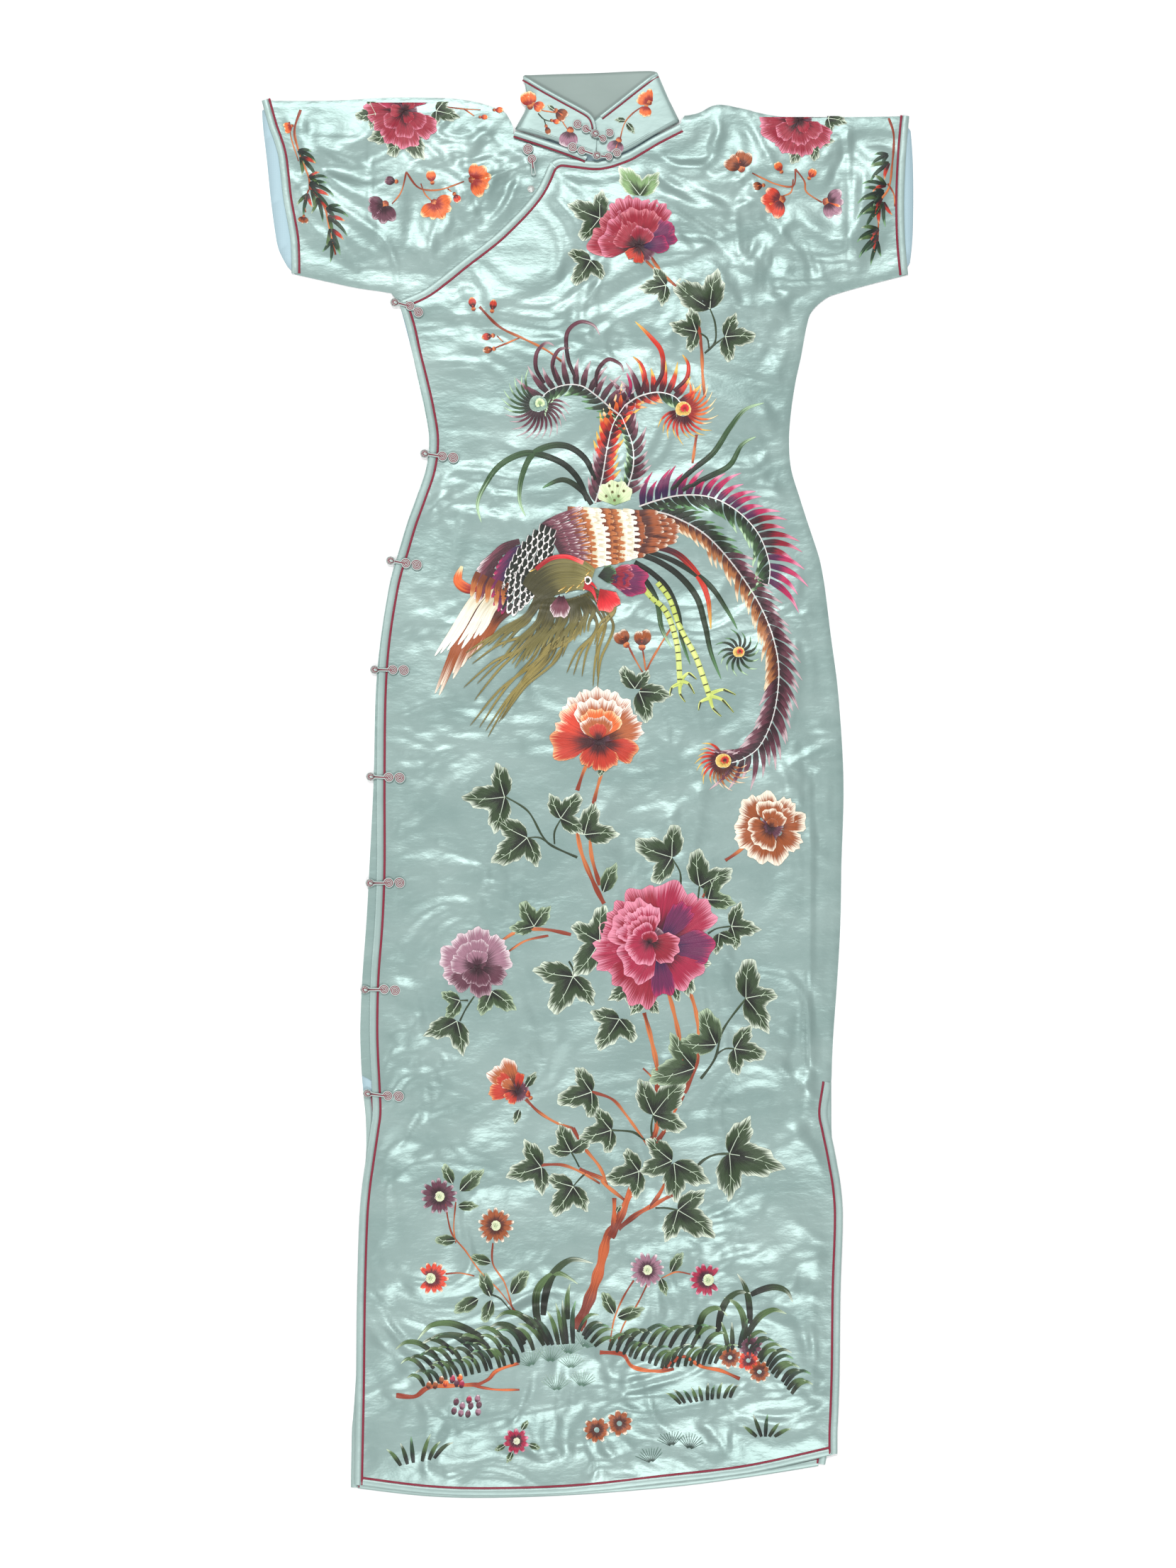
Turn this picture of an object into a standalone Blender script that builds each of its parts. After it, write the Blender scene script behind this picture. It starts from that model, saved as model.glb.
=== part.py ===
"""A long embroidered cheongsam laid flat on its back, with cap sleeves cut in one with the body.

The frame: the collar points along +Y, the wearer's left sleeve along +X, the front faces up along +Z
and the back rests on Z = 0.  The origin is under the middle of the garment's box.
The tables are in millimetres, and each mesh is scaled to metres when it is made.
Left and right in the names are the wearer's, so the side opening, on the wearer's right, is at -X.
"""

import math
from collections import namedtuple

import bmesh
import bpy
import numpy as np
from mathutils import Vector
from mathutils.geometry import delaunay_2d_cdt

MM = 0.001

# ---- driving sizes, in millimetres -------------------------------------------------------------
CLOTH = 1.2  # wall of a body panel: satin with its cotton lining
STIFFENED = 1.3  # wall of the interlined collar
GAP = 0.3  # between pieces that are sewn or lie on each other
LAYER = CLOTH + GAP
BINDING_WIDE = 6.0  # self-coloured binding that wraps each free edge
BINDING_THICK = 1.0
PIPING_WIDE = 2.0  # dark red piping along the binding's inner side
PIPING_THICK = 1.4
RIM = 14.0  # flat border of a panel, which carries the binding and piping
LOFT = 1.5  # how far the front rises from its rim to its middle
LOFT_REACH = 60.0
CHORD = 34.0  # side of the facets in the panels
CURVE_CHORD = 19.0  # length of the straight pieces in an outline

BACK_BOTTOM = 0.0
UNDER_BOTTOM = BACK_BOTTOM + LAYER  # the shoulder panel and the side extension lie on the back
FRONT_BOTTOM = UNDER_BOTTOM + LAYER  # the front's free edges lie on those
FRONT_TOP = FRONT_BOTTOM + CLOTH

# ---- the cut -----------------------------------------------------------------------------------
# One row for each level of the body, from the armhole to the top of the side slits.
Section = namedtuple("Section", "y back_left front_left right")
BODY = [
    Section(445, -177, -176, 213),
    Section(418, -170, -170, 208),
    Section(390, -164, -163, 202),
    Section(363, -158, -157, 198),
    Section(335, -154, -153, 196),
    Section(307, -157, -156, 198),
    Section(280, -166, -165, 206),
    Section(252, -176, -175, 215),
    Section(225, -184, -183, 224),
    Section(197, -192, -191, 230),
    Section(142, -201, -200, 237),
    Section(87, -206, -204, 244),
    Section(4, -208, -205, 249),
    Section(-79, -212, -205, 247),
    Section(-134, -215, -207, 246),
    Section(-189, -219, -211, 243),
    Section(-245, -221, -212, 239),
    Section(-290, -219, -210, 237),
]
# One row for each level of the two free skirt panels, below the slits.
Skirt = namedtuple("Skirt", "y back_left front_left front_right back_right")
SKIRT = [
    Skirt(-318, -216, -209, 233, 237),
    Skirt(-355, -215, -214, 240, 238),
    Skirt(-410, -219, -221, 248, 244),
    Skirt(-493, -222, -224, 246, 242),
    Skirt(-576, -225, -225, 245, 240),
    Skirt(-631, -229, -226, 243, 236),
]
# One row for each station across a hem, from the wearer's right to the left.
Point = namedtuple("Point", "x y")
FRONT_HEM = [
    Point(-227, -681),
    Point(-155, -690),
    Point(-92, -692),
    Point(-10, -689),
    Point(73, -680),
    Point(156, -670),
    Point(243, -651),
]
BACK_HEM = [
    Point(-230, -684),
    Point(-161, -692),
    Point(-99, -694),
    Point(-10, -691),
    Point(87, -683),
    Point(163, -673),
    Point(231, -662),
]
# The opening of the front: along the collar's foot, round the corner and down to the armhole.
FRONT_NECK = [
    Point(91, 643),
    Point(64, 629),
    Point(36, 613),
    Point(12, 606),
    Point(-13, 608),
    Point(-27, 609),
    Point(-37, 603),
]
FRONT_DIAGONAL = [
    Point(-37, 603),
    Point(-43, 590),
    Point(-50, 577),
    Point(-61, 563),
    Point(-89, 535),
    Point(-121, 510),
    Point(-157, 482),
    Point(-184, 470),
]
# The shoulder folds, from the neck out to the cuffs.
LEFT_SHOULDER = [
    Point(92, 650),
    Point(108, 653),
    Point(126, 661),
    Point(152, 657),
    Point(184, 650),
    Point(240, 649),
    Point(313, 650),
]
RIGHT_SHOULDER = [
    Point(-73, 641),
    Point(-80, 654),
    Point(-99, 661),
    Point(-130, 667),
    Point(-190, 668),
    Point(-250, 665),
    Point(-317, 665),
]
# The seams under the sleeves, from the armhole out to the cuffs.
LEFT_UNDERSLEEVE = [
    Point(213, 445),
    Point(218, 460),
    Point(232, 473),
    Point(262, 483),
    Point(312, 496),
]
RIGHT_UNDERSLEEVE = [
    Point(-184, 470),
    Point(-191, 478),
    Point(-224, 483),
    Point(-288, 497),
]
# The cuffs bow: the upper layer is drawn in, so the lining of the lower one shows.
LEFT_CUFF_UPPER = [Point(312, 496), Point(309, 528), Point(308, 570), Point(310, 616), Point(313, 650)]
LEFT_CUFF_LOWER = [Point(312, 496), Point(316, 528), Point(317, 576), Point(316, 616), Point(313, 650)]
RIGHT_CUFF_UPPER = [
    Point(-288, 497),
    Point(-289, 530),
    Point(-296, 570),
    Point(-301, 612),
    Point(-310, 640),
    Point(-317, 665),
]
RIGHT_CUFF_LOWER = [
    Point(-288, 497),
    Point(-300, 519),
    Point(-307, 560),
    Point(-312, 608),
    Point(-316, 643),
    Point(-317, 665),
]
BACK_NECK = [
    Point(92, 650),
    Point(90.5, 639),
    Point(50, 630),
    Point(8, 628),
    Point(-35, 628),
    Point(-72, 632),
    Point(-73, 641),
]
# The shoulder panel's neck edge, then its hidden edge under the front.
SHOULDER_NECK = [Point(-73, 641), Point(-72, 632), Point(-50, 626), Point(-28, 618), Point(-8, 612)]
SHOULDER_HIDDEN = [
    Point(-8, 612),
    Point(-6, 572),
    Point(-40, 532),
    Point(-92, 488),
    Point(-140, 452),
    Point(-184, 470),
]

# The largest folds that stand in the front and in the shoulder panel.
Fold = namedtuple("Fold", "x0 y0 x1 y1 wide high")
FRONT_FOLDS = [
    Fold(122, 600, 122, 640, 24, 4.0),
    Fold(66, 592, 122, 600, 20, 3.0),
    Fold(190, -170, 196, -262, 26, 3.5),
    Fold(-150, -600, -60, -640, 28, 3.0),
    Fold(40, -610, 170, -600, 28, 3.0),
    Fold(120, 470, 180, 430, 28, 2.5),
]
SHOULDER_FOLDS = [
    Fold(-118, 632, -92, 600, 24, 4.0),
    Fold(-140, 600, -160, 540, 24, 3.0),
    Fold(-214, 600, -214, 520, 26, 2.5),
]

# ---- the collar --------------------------------------------------------------------------------
# One row for each station along the band, from the lapped end, round the back, to the end under it.
Station = namedtuple("Station", "foot_x foot_y top_x top_y z")
COLLAR_BACK_Z = STIFFENED / 2 + 0.05
COLLAR_UNDER_Z = 4.25
COLLAR_OVER_Z = COLLAR_UNDER_Z + STIFFENED + GAP
COLLAR = [
    Station(9, 614, 9, 628, COLLAR_OVER_Z),
    Station(7, 611, 8, 642, COLLAR_OVER_Z),
    Station(1, 613, 3, 651, COLLAR_OVER_Z),
    Station(-9, 617, -8, 658, COLLAR_OVER_Z),
    Station(-22, 622, -21, 665, COLLAR_OVER_Z),
    Station(-42, 629, -41, 676, COLLAR_OVER_Z),
    Station(-63, 635, -57, 686, COLLAR_OVER_Z),
    Station(-68, 636, -61, 688, 5.0),
    Station(-70, 637, -62.5, 689, COLLAR_OVER_Z / 2),
    Station(-68, 637, -61, 690, 1.2),
    Station(-63, 636, -56, 690, COLLAR_BACK_Z),
    Station(-35, 633, -28, 691, COLLAR_BACK_Z),
    Station(8, 633, 8, 692, COLLAR_BACK_Z),
    Station(50, 635, 40, 693.5, COLLAR_BACK_Z),
    Station(82, 641, 61, 694, COLLAR_BACK_Z),
    Station(87.5, 644, 66.5, 693, 1.2),
    Station(89, 645, 68, 692, COLLAR_UNDER_Z / 2),
    Station(87.5, 644, 66.5, 691, 3.6),
    Station(82, 641, 61, 688, COLLAR_UNDER_Z),
    Station(64, 631, 49, 679, COLLAR_UNDER_Z),
    Station(38, 616, 30, 664, COLLAR_UNDER_Z),
    Station(14, 609, 9, 648, COLLAR_UNDER_Z),
    Station(2, 612, 0, 637, COLLAR_UNDER_Z),
    Station(-6, 616, -7, 628, COLLAR_UNDER_Z),
]

# ---- the frogs ---------------------------------------------------------------------------------
# Each frog is a loop with two coiled ends on the lapping side, and a knot at the edge.
COIL_SMALL = 4.2  # radius of the coil next to the knot
COIL_LARGE = 4.7
COIL_THICK = 2.4
TAIL_WIDE = 3.0
TAIL_THICK = 1.6
KNOT = 4.1  # radius of the knotted button
COIL_SIDES = 12
Frog = namedtuple("Frog", "name small_x small_y large_x large_y knot_x knot_y")
SIDE_FROGS = [
    Frog("armhole", -172.5, 464.5, -164.5, 458.5, -187.5, 468.5),
    Frog("bust", -141, 318.5, -130.5, 317, -158.4, 321.5),
    Frog("waist", -176.5, 214.5, -166, 213, -191.5, 217.5),
    Frog("hip", -189, 111, -178.5, 110.5, -207, 111.5),
    Frog("thigh_upper", -193, 6.5, -182.5, 6, -211, 7.5),
    Frog("thigh_lower", -193, -96, -182.5, -96, -211.5, -96),
    Frog("knee_upper", -197.5, -199.5, -187, -200.5, -216.5, -199.5),
    Frog("knee_lower", -194, -303, -183.5, -303.5, -214, -300.5),
]
COLLAR_FROGS = [
    Frog("collar_upper", -1.5, 637, -9.5, 641.5, 7.4, 631.8),
    Frog("collar_lower", -5.5, 616.0, -14.3, 619.0, 9.0, 610.5),
]
# The far halves of the collar's two frogs, which the knots are tied from.
COLLAR_KNOT_ENDS = [
    Frog("collar_upper", 14.9, 626.9, 21.4, 632.6, 7.4, 631.8),
    Frog("collar_lower", 20.6, 609.3, 28.5, 612.9, 9.0, 610.5),
]
NECK_LOOP = Frog("neck", -53.7, 607.8, -57.5, 617.4, -52.5, 594.5)
PRESS_STUD = Point(-55, 579)
PRESS_STUD_RADIUS = 3.6

SATIN = (0.44, 0.60, 0.58, 1)
BINDING_SILK = (0.42, 0.55, 0.52, 1)
PIPING_RED = (0.22, 0.02, 0.05, 1)
STUD_STEEL = (0.6, 0.6, 0.6, 1)


def clear_scene():
    for thing in list(bpy.data.objects):
        bpy.data.objects.remove(thing, do_unlink=True)


def material(name, colour, roughness=0.4, metallic=0.0):
    made = bpy.data.materials.new(name)
    made.use_nodes = True
    shader = made.node_tree.nodes["Principled BSDF"]
    shader.inputs["Base Color"].default_value = colour
    shader.inputs["Roughness"].default_value = roughness
    shader.inputs["Metallic"].default_value = metallic
    return made


def smoothstep(low, high, value):
    share = min(1.0, max(0.0, (value - low) / (high - low)))
    return share * share * (3 - 2 * share)


# ---- outlines ----------------------------------------------------------------------------------
def curve_through(points, chord=CURVE_CHORD):
    """Points about a chord apart on a smooth curve through the given ones, both ends included."""
    ends = [points[0]] + list(points) + [points[-1]]
    line = []
    for before, start, stop, after in zip(ends, ends[1:], ends[2:], ends[3:]):
        span = math.dist(start, stop)
        steps = max(1, round(span / chord))
        for step in range(steps):
            t = step / steps
            line.append(
                tuple(
                    0.5
                    * (
                        2 * b
                        + (c - a) * t
                        + (2 * a - 5 * b + 4 * c - d) * t * t
                        + (3 * b - a - 3 * c + d) * t**3
                    )
                    for a, b, c, d in zip(before, start, stop, after)
                )
            )
    return line + [tuple(points[-1])]


def outline_of(*runs):
    """A closed outline from runs that share their ends, where it may turn a corner."""
    closed = []
    for run in runs:
        closed += run[:-1]
    return closed


def side_run(name, rows):
    return curve_through([Point(getattr(row, name), row.y) for row in rows])


def distance_to(line, x, y):
    """The distance from a point to an open line of points."""
    ends = np.array(line, float)
    start, along = ends[:-1], np.diff(ends, axis=0)
    length = np.maximum((along**2).sum(1), 1e-9)
    share = np.clip(((np.array([x, y]) - start) * along).sum(1) / length, 0, 1)
    nearest = start + share[:, None] * along
    return float(np.linalg.norm(nearest - [x, y], axis=1).min())


def inside(line, x, y):
    crossings = 0
    for (x0, y0), (x1, y1) in zip(line, line[1:] + line[:1]):
        if (y0 > y) != (y1 > y) and x < x0 + (y - y0) * (x1 - x0) / (y1 - y0):
            crossings += 1
    return crossings % 2 == 1


def offset_line(line, inward):
    """The line moved sideways, to its left as it runs, by a distance in millimetres."""
    ends = np.array(line, float)
    along = np.gradient(ends, axis=0)
    along /= np.linalg.norm(along, axis=1)[:, None]
    left = np.stack([-along[:, 1], along[:, 0]], axis=1)
    return [tuple(point) for point in ends + left * inward]


def trimmed(line, start=0.0, end=0.0):
    """The line without its first and last stretches, of the given lengths in millimetres."""
    ends = np.array(line, float)
    along = np.concatenate([[0], np.cumsum(np.linalg.norm(np.diff(ends, axis=0), axis=1))])
    low, high = start, along[-1] - end
    kept = [s for s in along if low + 2 < s < high - 2]
    return [
        (float(np.interp(s, along, ends[:, 0])), float(np.interp(s, along, ends[:, 1])))
        for s in [low, *kept, high]
    ]


# ---- solids ------------------------------------------------------------------------------------
def finish(bm, name, finish_material, smooth=False):
    """Scales the mesh to metres, makes its faces point outwards and links it as an object."""
    bmesh.ops.recalc_face_normals(bm, faces=bm.faces)
    bmesh.ops.scale(bm, vec=(MM, MM, MM), verts=bm.verts)
    mesh = bpy.data.meshes.new(name)
    bm.to_mesh(mesh)
    bm.free()
    mesh.materials.append(finish_material)
    made = bpy.data.objects.new(name, mesh)
    bpy.context.scene.collection.objects.link(made)
    if smooth:
        mesh.shade_smooth()
        mesh.set_sharp_from_angle(angle=math.radians(40))
    return made


def thicken_down(bm, wall):
    """Gives an open sheet its wall by extruding it straight down."""
    grown = bmesh.ops.extrude_face_region(bm, geom=bm.faces[:], use_keep_orig=True)
    moved = [part for part in grown["geom"] if isinstance(part, bmesh.types.BMVert)]
    bmesh.ops.translate(bm, vec=(0, 0, -wall), verts=moved)


def facet_points(outline, chord):
    """Points inside an outline: a ring along its rim, and a grid in its middle."""
    closed = outline + outline[:1]
    ring = [p for p in offset_line(closed, RIM) if abs(distance_to(closed, *p) - RIM) < 0.5]
    spaced = []
    for point in ring:
        if all(math.dist(point, other) > CURVE_CHORD * 0.4 for other in spaced):
            spaced.append(point)
    low = np.min(outline, axis=0)
    high = np.max(outline, axis=0)
    grid = [
        (float(x), float(y))
        for x in np.arange(low[0], high[0], chord)
        for y in np.arange(low[1], high[1], chord)
    ]
    middle = [p for p in grid if distance_to(closed, *p) > RIM + chord * 0.5]
    return [p for p in spaced + middle if inside(outline, *p)]


def panel(name, outline, height_at, finish_material, wall=CLOTH, chord=CHORD):
    """A cloth panel with this outline, cut into facets, whose underside has this height."""
    points = outline + (facet_points(outline, chord) if chord else [])
    rim = [(i, (i + 1) % len(outline)) for i in range(len(outline))]
    cut = delaunay_2d_cdt([Vector(point) for point in points], rim, [], 1, 0.01)
    bm = bmesh.new()
    verts = [bm.verts.new((x, y, height_at(x, y) + wall)) for x, y in cut[0]]
    for corners in cut[2]:
        bm.faces.new([verts[i] for i in corners])
    thicken_down(bm, wall)
    return finish(bm, name, finish_material)


def strip(name, line, near, far, bottom, thick, finish_material):
    """A flat band beside a line: from near to far millimetres on its left, on a level surface."""
    bm = bmesh.new()
    rows = [
        [bm.verts.new((x, y, bottom + thick)) for x, y in offset_line(line, reach)]
        for reach in (near, far)
    ]
    for i in range(len(line) - 1):
        bm.faces.new((rows[0][i], rows[0][i + 1], rows[1][i + 1], rows[1][i]))
    thicken_down(bm, thick)
    return finish(bm, name, finish_material)


def bound_edge(name, line, level, binding, piping, piping_trim=(0.0, 0.0)):
    """A free edge's binding, and the piping along its inner side, on a panel's flat rim."""
    strip(f"{name}_binding", line, 0.0, BINDING_WIDE, level + GAP, BINDING_THICK, binding)
    near = BINDING_WIDE + GAP
    inner = trimmed(line, *piping_trim)
    strip(f"{name}_piping", inner, near, near + PIPING_WIDE, level + GAP, PIPING_THICK, piping)


def fold_height(folds, x, y):
    """How far the folds lift the cloth here: each is a soft ridge along its own line."""
    lift = 0.0
    for fold in folds:
        away = distance_to([(fold.x0, fold.y0), (fold.x1, fold.y1)], x, y)
        lift = max(lift, fold.high * (1 - smoothstep(0, fold.wide, away)))
    return lift


# ---- frogs -------------------------------------------------------------------------------------
def add_disc(bm, x, y, radius, bottom, thick, sides=COIL_SIDES):
    made = bmesh.ops.create_cone(
        bm, cap_ends=True, segments=sides, radius1=radius, radius2=radius * 0.86, depth=thick
    )
    bmesh.ops.translate(bm, vec=(x, y, bottom + thick / 2), verts=made["verts"])


def add_bar(bm, x0, y0, x1, y1, wide, bottom, thick):
    """A bar with square ends from one point to another."""
    long = math.dist((x0, y0), (x1, y1))
    made = bmesh.ops.create_cube(bm, size=1.0)
    turn = math.atan2(y1 - y0, x1 - x0)
    for vert in made["verts"]:
        px, py, pz = vert.co.x * long, vert.co.y * wide, vert.co.z * thick
        vert.co.x = (x0 + x1) / 2 + px * math.cos(turn) - py * math.sin(turn)
        vert.co.y = (y0 + y1) / 2 + px * math.sin(turn) + py * math.cos(turn)
        vert.co.z = bottom + thick / 2 + pz


def solid_from(add_shape, *sizes):
    bm = bmesh.new()
    add_shape(bm, *sizes)
    return bm


def union(name, shapes, finish_material):
    """One body from several overlapping closed shapes."""
    body = finish(shapes[0], name, finish_material)
    for number, shape in enumerate(shapes[1:]):
        other = finish(shape, f"{name}_join_{number}", finish_material)
        other.hide_render = True
        other.display_type = "WIRE"
        join = body.modifiers.new("join", "BOOLEAN")
        join.operation = "UNION"
        join.object = other
    return body


def frog_end(name, frog, level, stop_short, silk):
    """The two coils of a frog and the tail that runs from them to just short of its knot."""
    away = Vector((frog.knot_x - frog.small_x, frog.knot_y - frog.small_y))
    tip = Vector(frog[1:3]) + away.normalized() * (away.length - stop_short)
    shapes = [
        solid_from(add_disc, frog.small_x, frog.small_y, COIL_SMALL, level, COIL_THICK),
        solid_from(add_disc, frog.large_x, frog.large_y, COIL_LARGE, level, COIL_THICK),
        solid_from(add_bar, *frog[1:5], TAIL_WIDE, level + 0.2, TAIL_THICK),
        solid_from(add_bar, *frog[1:3], *tip, TAIL_WIDE, level + 0.2, TAIL_THICK),
    ]
    return union(name, shapes, silk)


def knot_button(name, frog, level, silk):
    bm = bmesh.new()
    bmesh.ops.create_icosphere(bm, subdivisions=2, radius=KNOT)
    bmesh.ops.scale(bm, vec=(1, 1, 0.8), verts=bm.verts)
    bmesh.ops.translate(bm, vec=(frog.knot_x, frog.knot_y, level + 0.8 * KNOT), verts=bm.verts)
    return finish(bm, name, silk, smooth=True)


# ---- the garment -------------------------------------------------------------------------------
def make_outlines():
    """The outlines of the panels. Each runs with the panel on its left."""
    body_end = BODY[-1]
    left_seam = side_run("right", BODY)
    right_front = side_run("front_left", BODY + SKIRT)
    right_back = side_run("back_left", BODY + SKIRT)
    slit_front = curve_through(
        [Point(body_end.right, body_end.y)] + [Point(row.front_right, row.y) for row in SKIRT]
    )
    slit_back = curve_through(
        [Point(body_end.right, body_end.y)] + [Point(row.back_right, row.y) for row in SKIRT]
    )
    return {
        "diagonal": curve_through(FRONT_DIAGONAL),
        "neck": curve_through(FRONT_NECK),
        "opening": curve_through([Point(-184, 470)] + [Point(r.front_left, r.y) for r in BODY]),
        "right_front": [FRONT_DIAGONAL[-1]] + right_front + [FRONT_HEM[0]],
        "right_back": [FRONT_DIAGONAL[-1]] + right_back + [BACK_HEM[0]],
        "front_hem": curve_through(FRONT_HEM),
        "back_hem": curve_through(BACK_HEM),
        "slit_front": [FRONT_HEM[-1]] + slit_front[::-1],
        "slit_back": [BACK_HEM[-1]] + slit_back[::-1],
        "left_seam": left_seam[::-1],
        "left_under": curve_through(LEFT_UNDERSLEEVE),
        "left_cuff_upper": curve_through(LEFT_CUFF_UPPER),
        "left_cuff_lower": curve_through(LEFT_CUFF_LOWER),
        "left_shoulder": curve_through(LEFT_SHOULDER)[::-1],
        "right_shoulder": curve_through(RIGHT_SHOULDER),
        "right_cuff_upper": curve_through(RIGHT_CUFF_UPPER)[::-1],
        "right_cuff_lower": curve_through(RIGHT_CUFF_LOWER)[::-1],
        "right_under": curve_through(RIGHT_UNDERSLEEVE)[::-1],
        "back_neck": curve_through(BACK_NECK),
        "shoulder_neck": curve_through(SHOULDER_NECK)[::-1],
        "shoulder_hidden": curve_through(SHOULDER_HIDDEN)[::-1],
    }


def make_body_panels(runs, satin):
    """The front, the shoulder panel under its opening, the back and the side extension."""
    front = outline_of(
        runs["diagonal"],
        runs["right_front"],
        runs["front_hem"],
        runs["slit_front"],
        runs["left_seam"],
        runs["left_under"],
        runs["left_cuff_upper"],
        runs["left_shoulder"],
        [LEFT_SHOULDER[0], FRONT_NECK[0]],
        runs["neck"],
    )
    shoulder = outline_of(
        runs["right_shoulder"],
        runs["right_cuff_upper"],
        runs["right_under"],
        runs["shoulder_hidden"],
        runs["shoulder_neck"],
    )
    back = outline_of(
        runs["right_shoulder"],
        runs["right_cuff_lower"],
        runs["right_under"],
        runs["right_back"],
        runs["back_hem"],
        runs["slit_back"],
        runs["left_seam"],
        runs["left_under"],
        runs["left_cuff_lower"],
        runs["left_shoulder"],
        runs["back_neck"],
    )

    def front_height(x, y):
        """The rim rides on the layers under the opening and hem, and on the back elsewhere."""
        overlap = max(1 - smoothstep(110, 190, x), 1 - smoothstep(-330, -250, y))
        away = distance_to(front + front[:1], x, y) - RIM
        middle = smoothstep(0, LOFT_REACH, away)
        lift = LOFT * middle + fold_height(FRONT_FOLDS, x, y) * smoothstep(0, 10, away)
        return UNDER_BOTTOM + LAYER * overlap + lift

    def shoulder_height(x, y):
        """Flat where the front lies on it, and lofted like the front over the sleeve."""
        away = min(distance_to(shoulder + shoulder[:1], x, y), distance_to(runs["diagonal"], x, y))
        if inside(front, x, y):
            away = 0.0
        middle = smoothstep(RIM, LOFT_REACH + RIM, away)
        folds = fold_height(SHOULDER_FOLDS, x, y) * smoothstep(RIM, RIM + 10, away)
        return UNDER_BOTTOM + LOFT * middle + folds

    panel("front_panel", front, front_height, satin)
    panel("right_shoulder_panel", shoulder, shoulder_height, satin, chord=CHORD * 0.8)
    panel("back_panel", back, lambda x, y: BACK_BOTTOM, satin, chord=None)
    fold_line = [Point(row.back_left, row.y) for row in BODY if row.y < 440]
    strip("side_extension", curve_through(fold_line), 0.0, 34.0, UNDER_BOTTOM, CLOTH, satin)


def make_bound_edges(runs, binding, piping):
    """Binding and piping along the opening, hem, slit and cuffs, and the back's free edges."""
    wide = BINDING_WIDE + GAP
    corner = wide + PIPING_WIDE + GAP
    # The piping starts past the rolled corner of the opening.
    bound_edge("opening", runs["diagonal"], FRONT_TOP, binding, piping, (2.0, 6.0))
    side = trimmed(runs["right_front"], wide + 3.0, 0)
    bound_edge("side", side, FRONT_TOP, binding, piping, (4.0, corner - PIPING_WIDE))
    hem = trimmed(runs["front_hem"], wide, wide)
    bound_edge("hem", hem, FRONT_TOP, binding, piping, (PIPING_WIDE + GAP, PIPING_WIDE + GAP))
    slit = trimmed(runs["slit_front"], 0, 30.0)
    bound_edge("slit", slit, FRONT_TOP, binding, piping, (corner - PIPING_WIDE, 2.0))
    neck = trimmed(runs["neck"], 3.0, 6.5)
    bound_edge("neck", neck, FRONT_TOP, binding, piping, (2.0, 3.0))
    under_top = UNDER_BOTTOM + CLOTH
    left_cuff = trimmed(runs["left_cuff_upper"], 2.0, 2.0)
    bound_edge("left_cuff", left_cuff, under_top, binding, piping)
    right_cuff = trimmed(runs["right_cuff_upper"], 2.0, 2.0)
    bound_edge("right_cuff", right_cuff, under_top, binding, piping)
    back_top = BACK_BOTTOM + CLOTH
    back_hem = trimmed(runs["back_hem"], wide, wide)
    strip("back_hem_binding", back_hem, 0, BINDING_WIDE, back_top + GAP, BINDING_THICK, binding)
    skirt_left = trimmed([Point(row.back_left, row.y) for row in SKIRT] + [BACK_HEM[0]], 4.0, 0)
    strip("back_slit_binding", skirt_left, 0, BINDING_WIDE, back_top + GAP, BINDING_THICK, binding)


def make_collar(satin, binding, piping):
    """The stiffened band, folded flat, with bound and piped edges on its two front halves."""
    foot = curve_through([(s.foot_x, s.foot_y, s.z) for s in COLLAR], chord=9.0)
    top = curve_through([(s.top_x, s.top_y, s.z) for s in COLLAR], chord=9.0)
    stations = 3 * len(COLLAR)
    spread = [np.linspace(0, len(line) - 1, stations) for line in (foot, top)]
    lines = []
    for line, at in zip((foot, top), spread):
        ends = np.array(line, float)
        lines.append(np.stack([np.interp(at, range(len(ends)), ends[:, k]) for k in range(3)], 1))
    bm = bmesh.new()
    rows = [[bm.verts.new(tuple(point)) for point in line] for line in lines]
    for i in range(stations - 1):
        bm.faces.new((rows[0][i], rows[0][i + 1], rows[1][i + 1], rows[1][i]))
    bmesh.ops.triangulate(bm, faces=bm.faces[:])
    bmesh.ops.recalc_face_normals(bm, faces=bm.faces)
    band = finish(bm, "collar", satin)
    wall = band.modifiers.new("wall", "SOLIDIFY")
    wall.thickness = STIFFENED * MM
    wall.offset = 0.0
    wall.use_even_offset = False

    over_top = [Point(s.top_x, s.top_y) for s in COLLAR[1:7]]
    under_top = [Point(s.top_x, s.top_y) for s in COLLAR[18:22]]
    over_level = COLLAR_OVER_Z + STIFFENED / 2
    under_level = COLLAR_UNDER_Z + STIFFENED / 2
    over_line = curve_through(over_top)
    under_line = curve_through(under_top)
    slim = 3.6  # the collar's binding is narrower than the hem's
    strip("collar_over_binding", over_line, 0, slim, over_level + GAP, BINDING_THICK, binding)
    strip("collar_over_piping", over_line, slim + GAP, slim + 2, over_level + GAP, PIPING_THICK, piping)
    strip("collar_under_binding", under_line, 0, slim, under_level + GAP, BINDING_THICK, binding)
    strip(
        "collar_under_piping", under_line, slim + GAP, slim + 2, under_level + GAP, PIPING_THICK, piping
    )
    foot_line = curve_through([Point(-70, 635.5), Point(-50, 629), Point(-22, 619.5), Point(-6, 613.5)])
    foot_level = FRONT_TOP + GAP + BINDING_THICK + GAP
    strip("collar_foot_binding", foot_line, -5.0, -0.5, foot_level, BINDING_THICK, binding)
    strip("collar_foot_piping", foot_line, -7.3, -5.3, foot_level, PIPING_THICK, piping)


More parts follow.
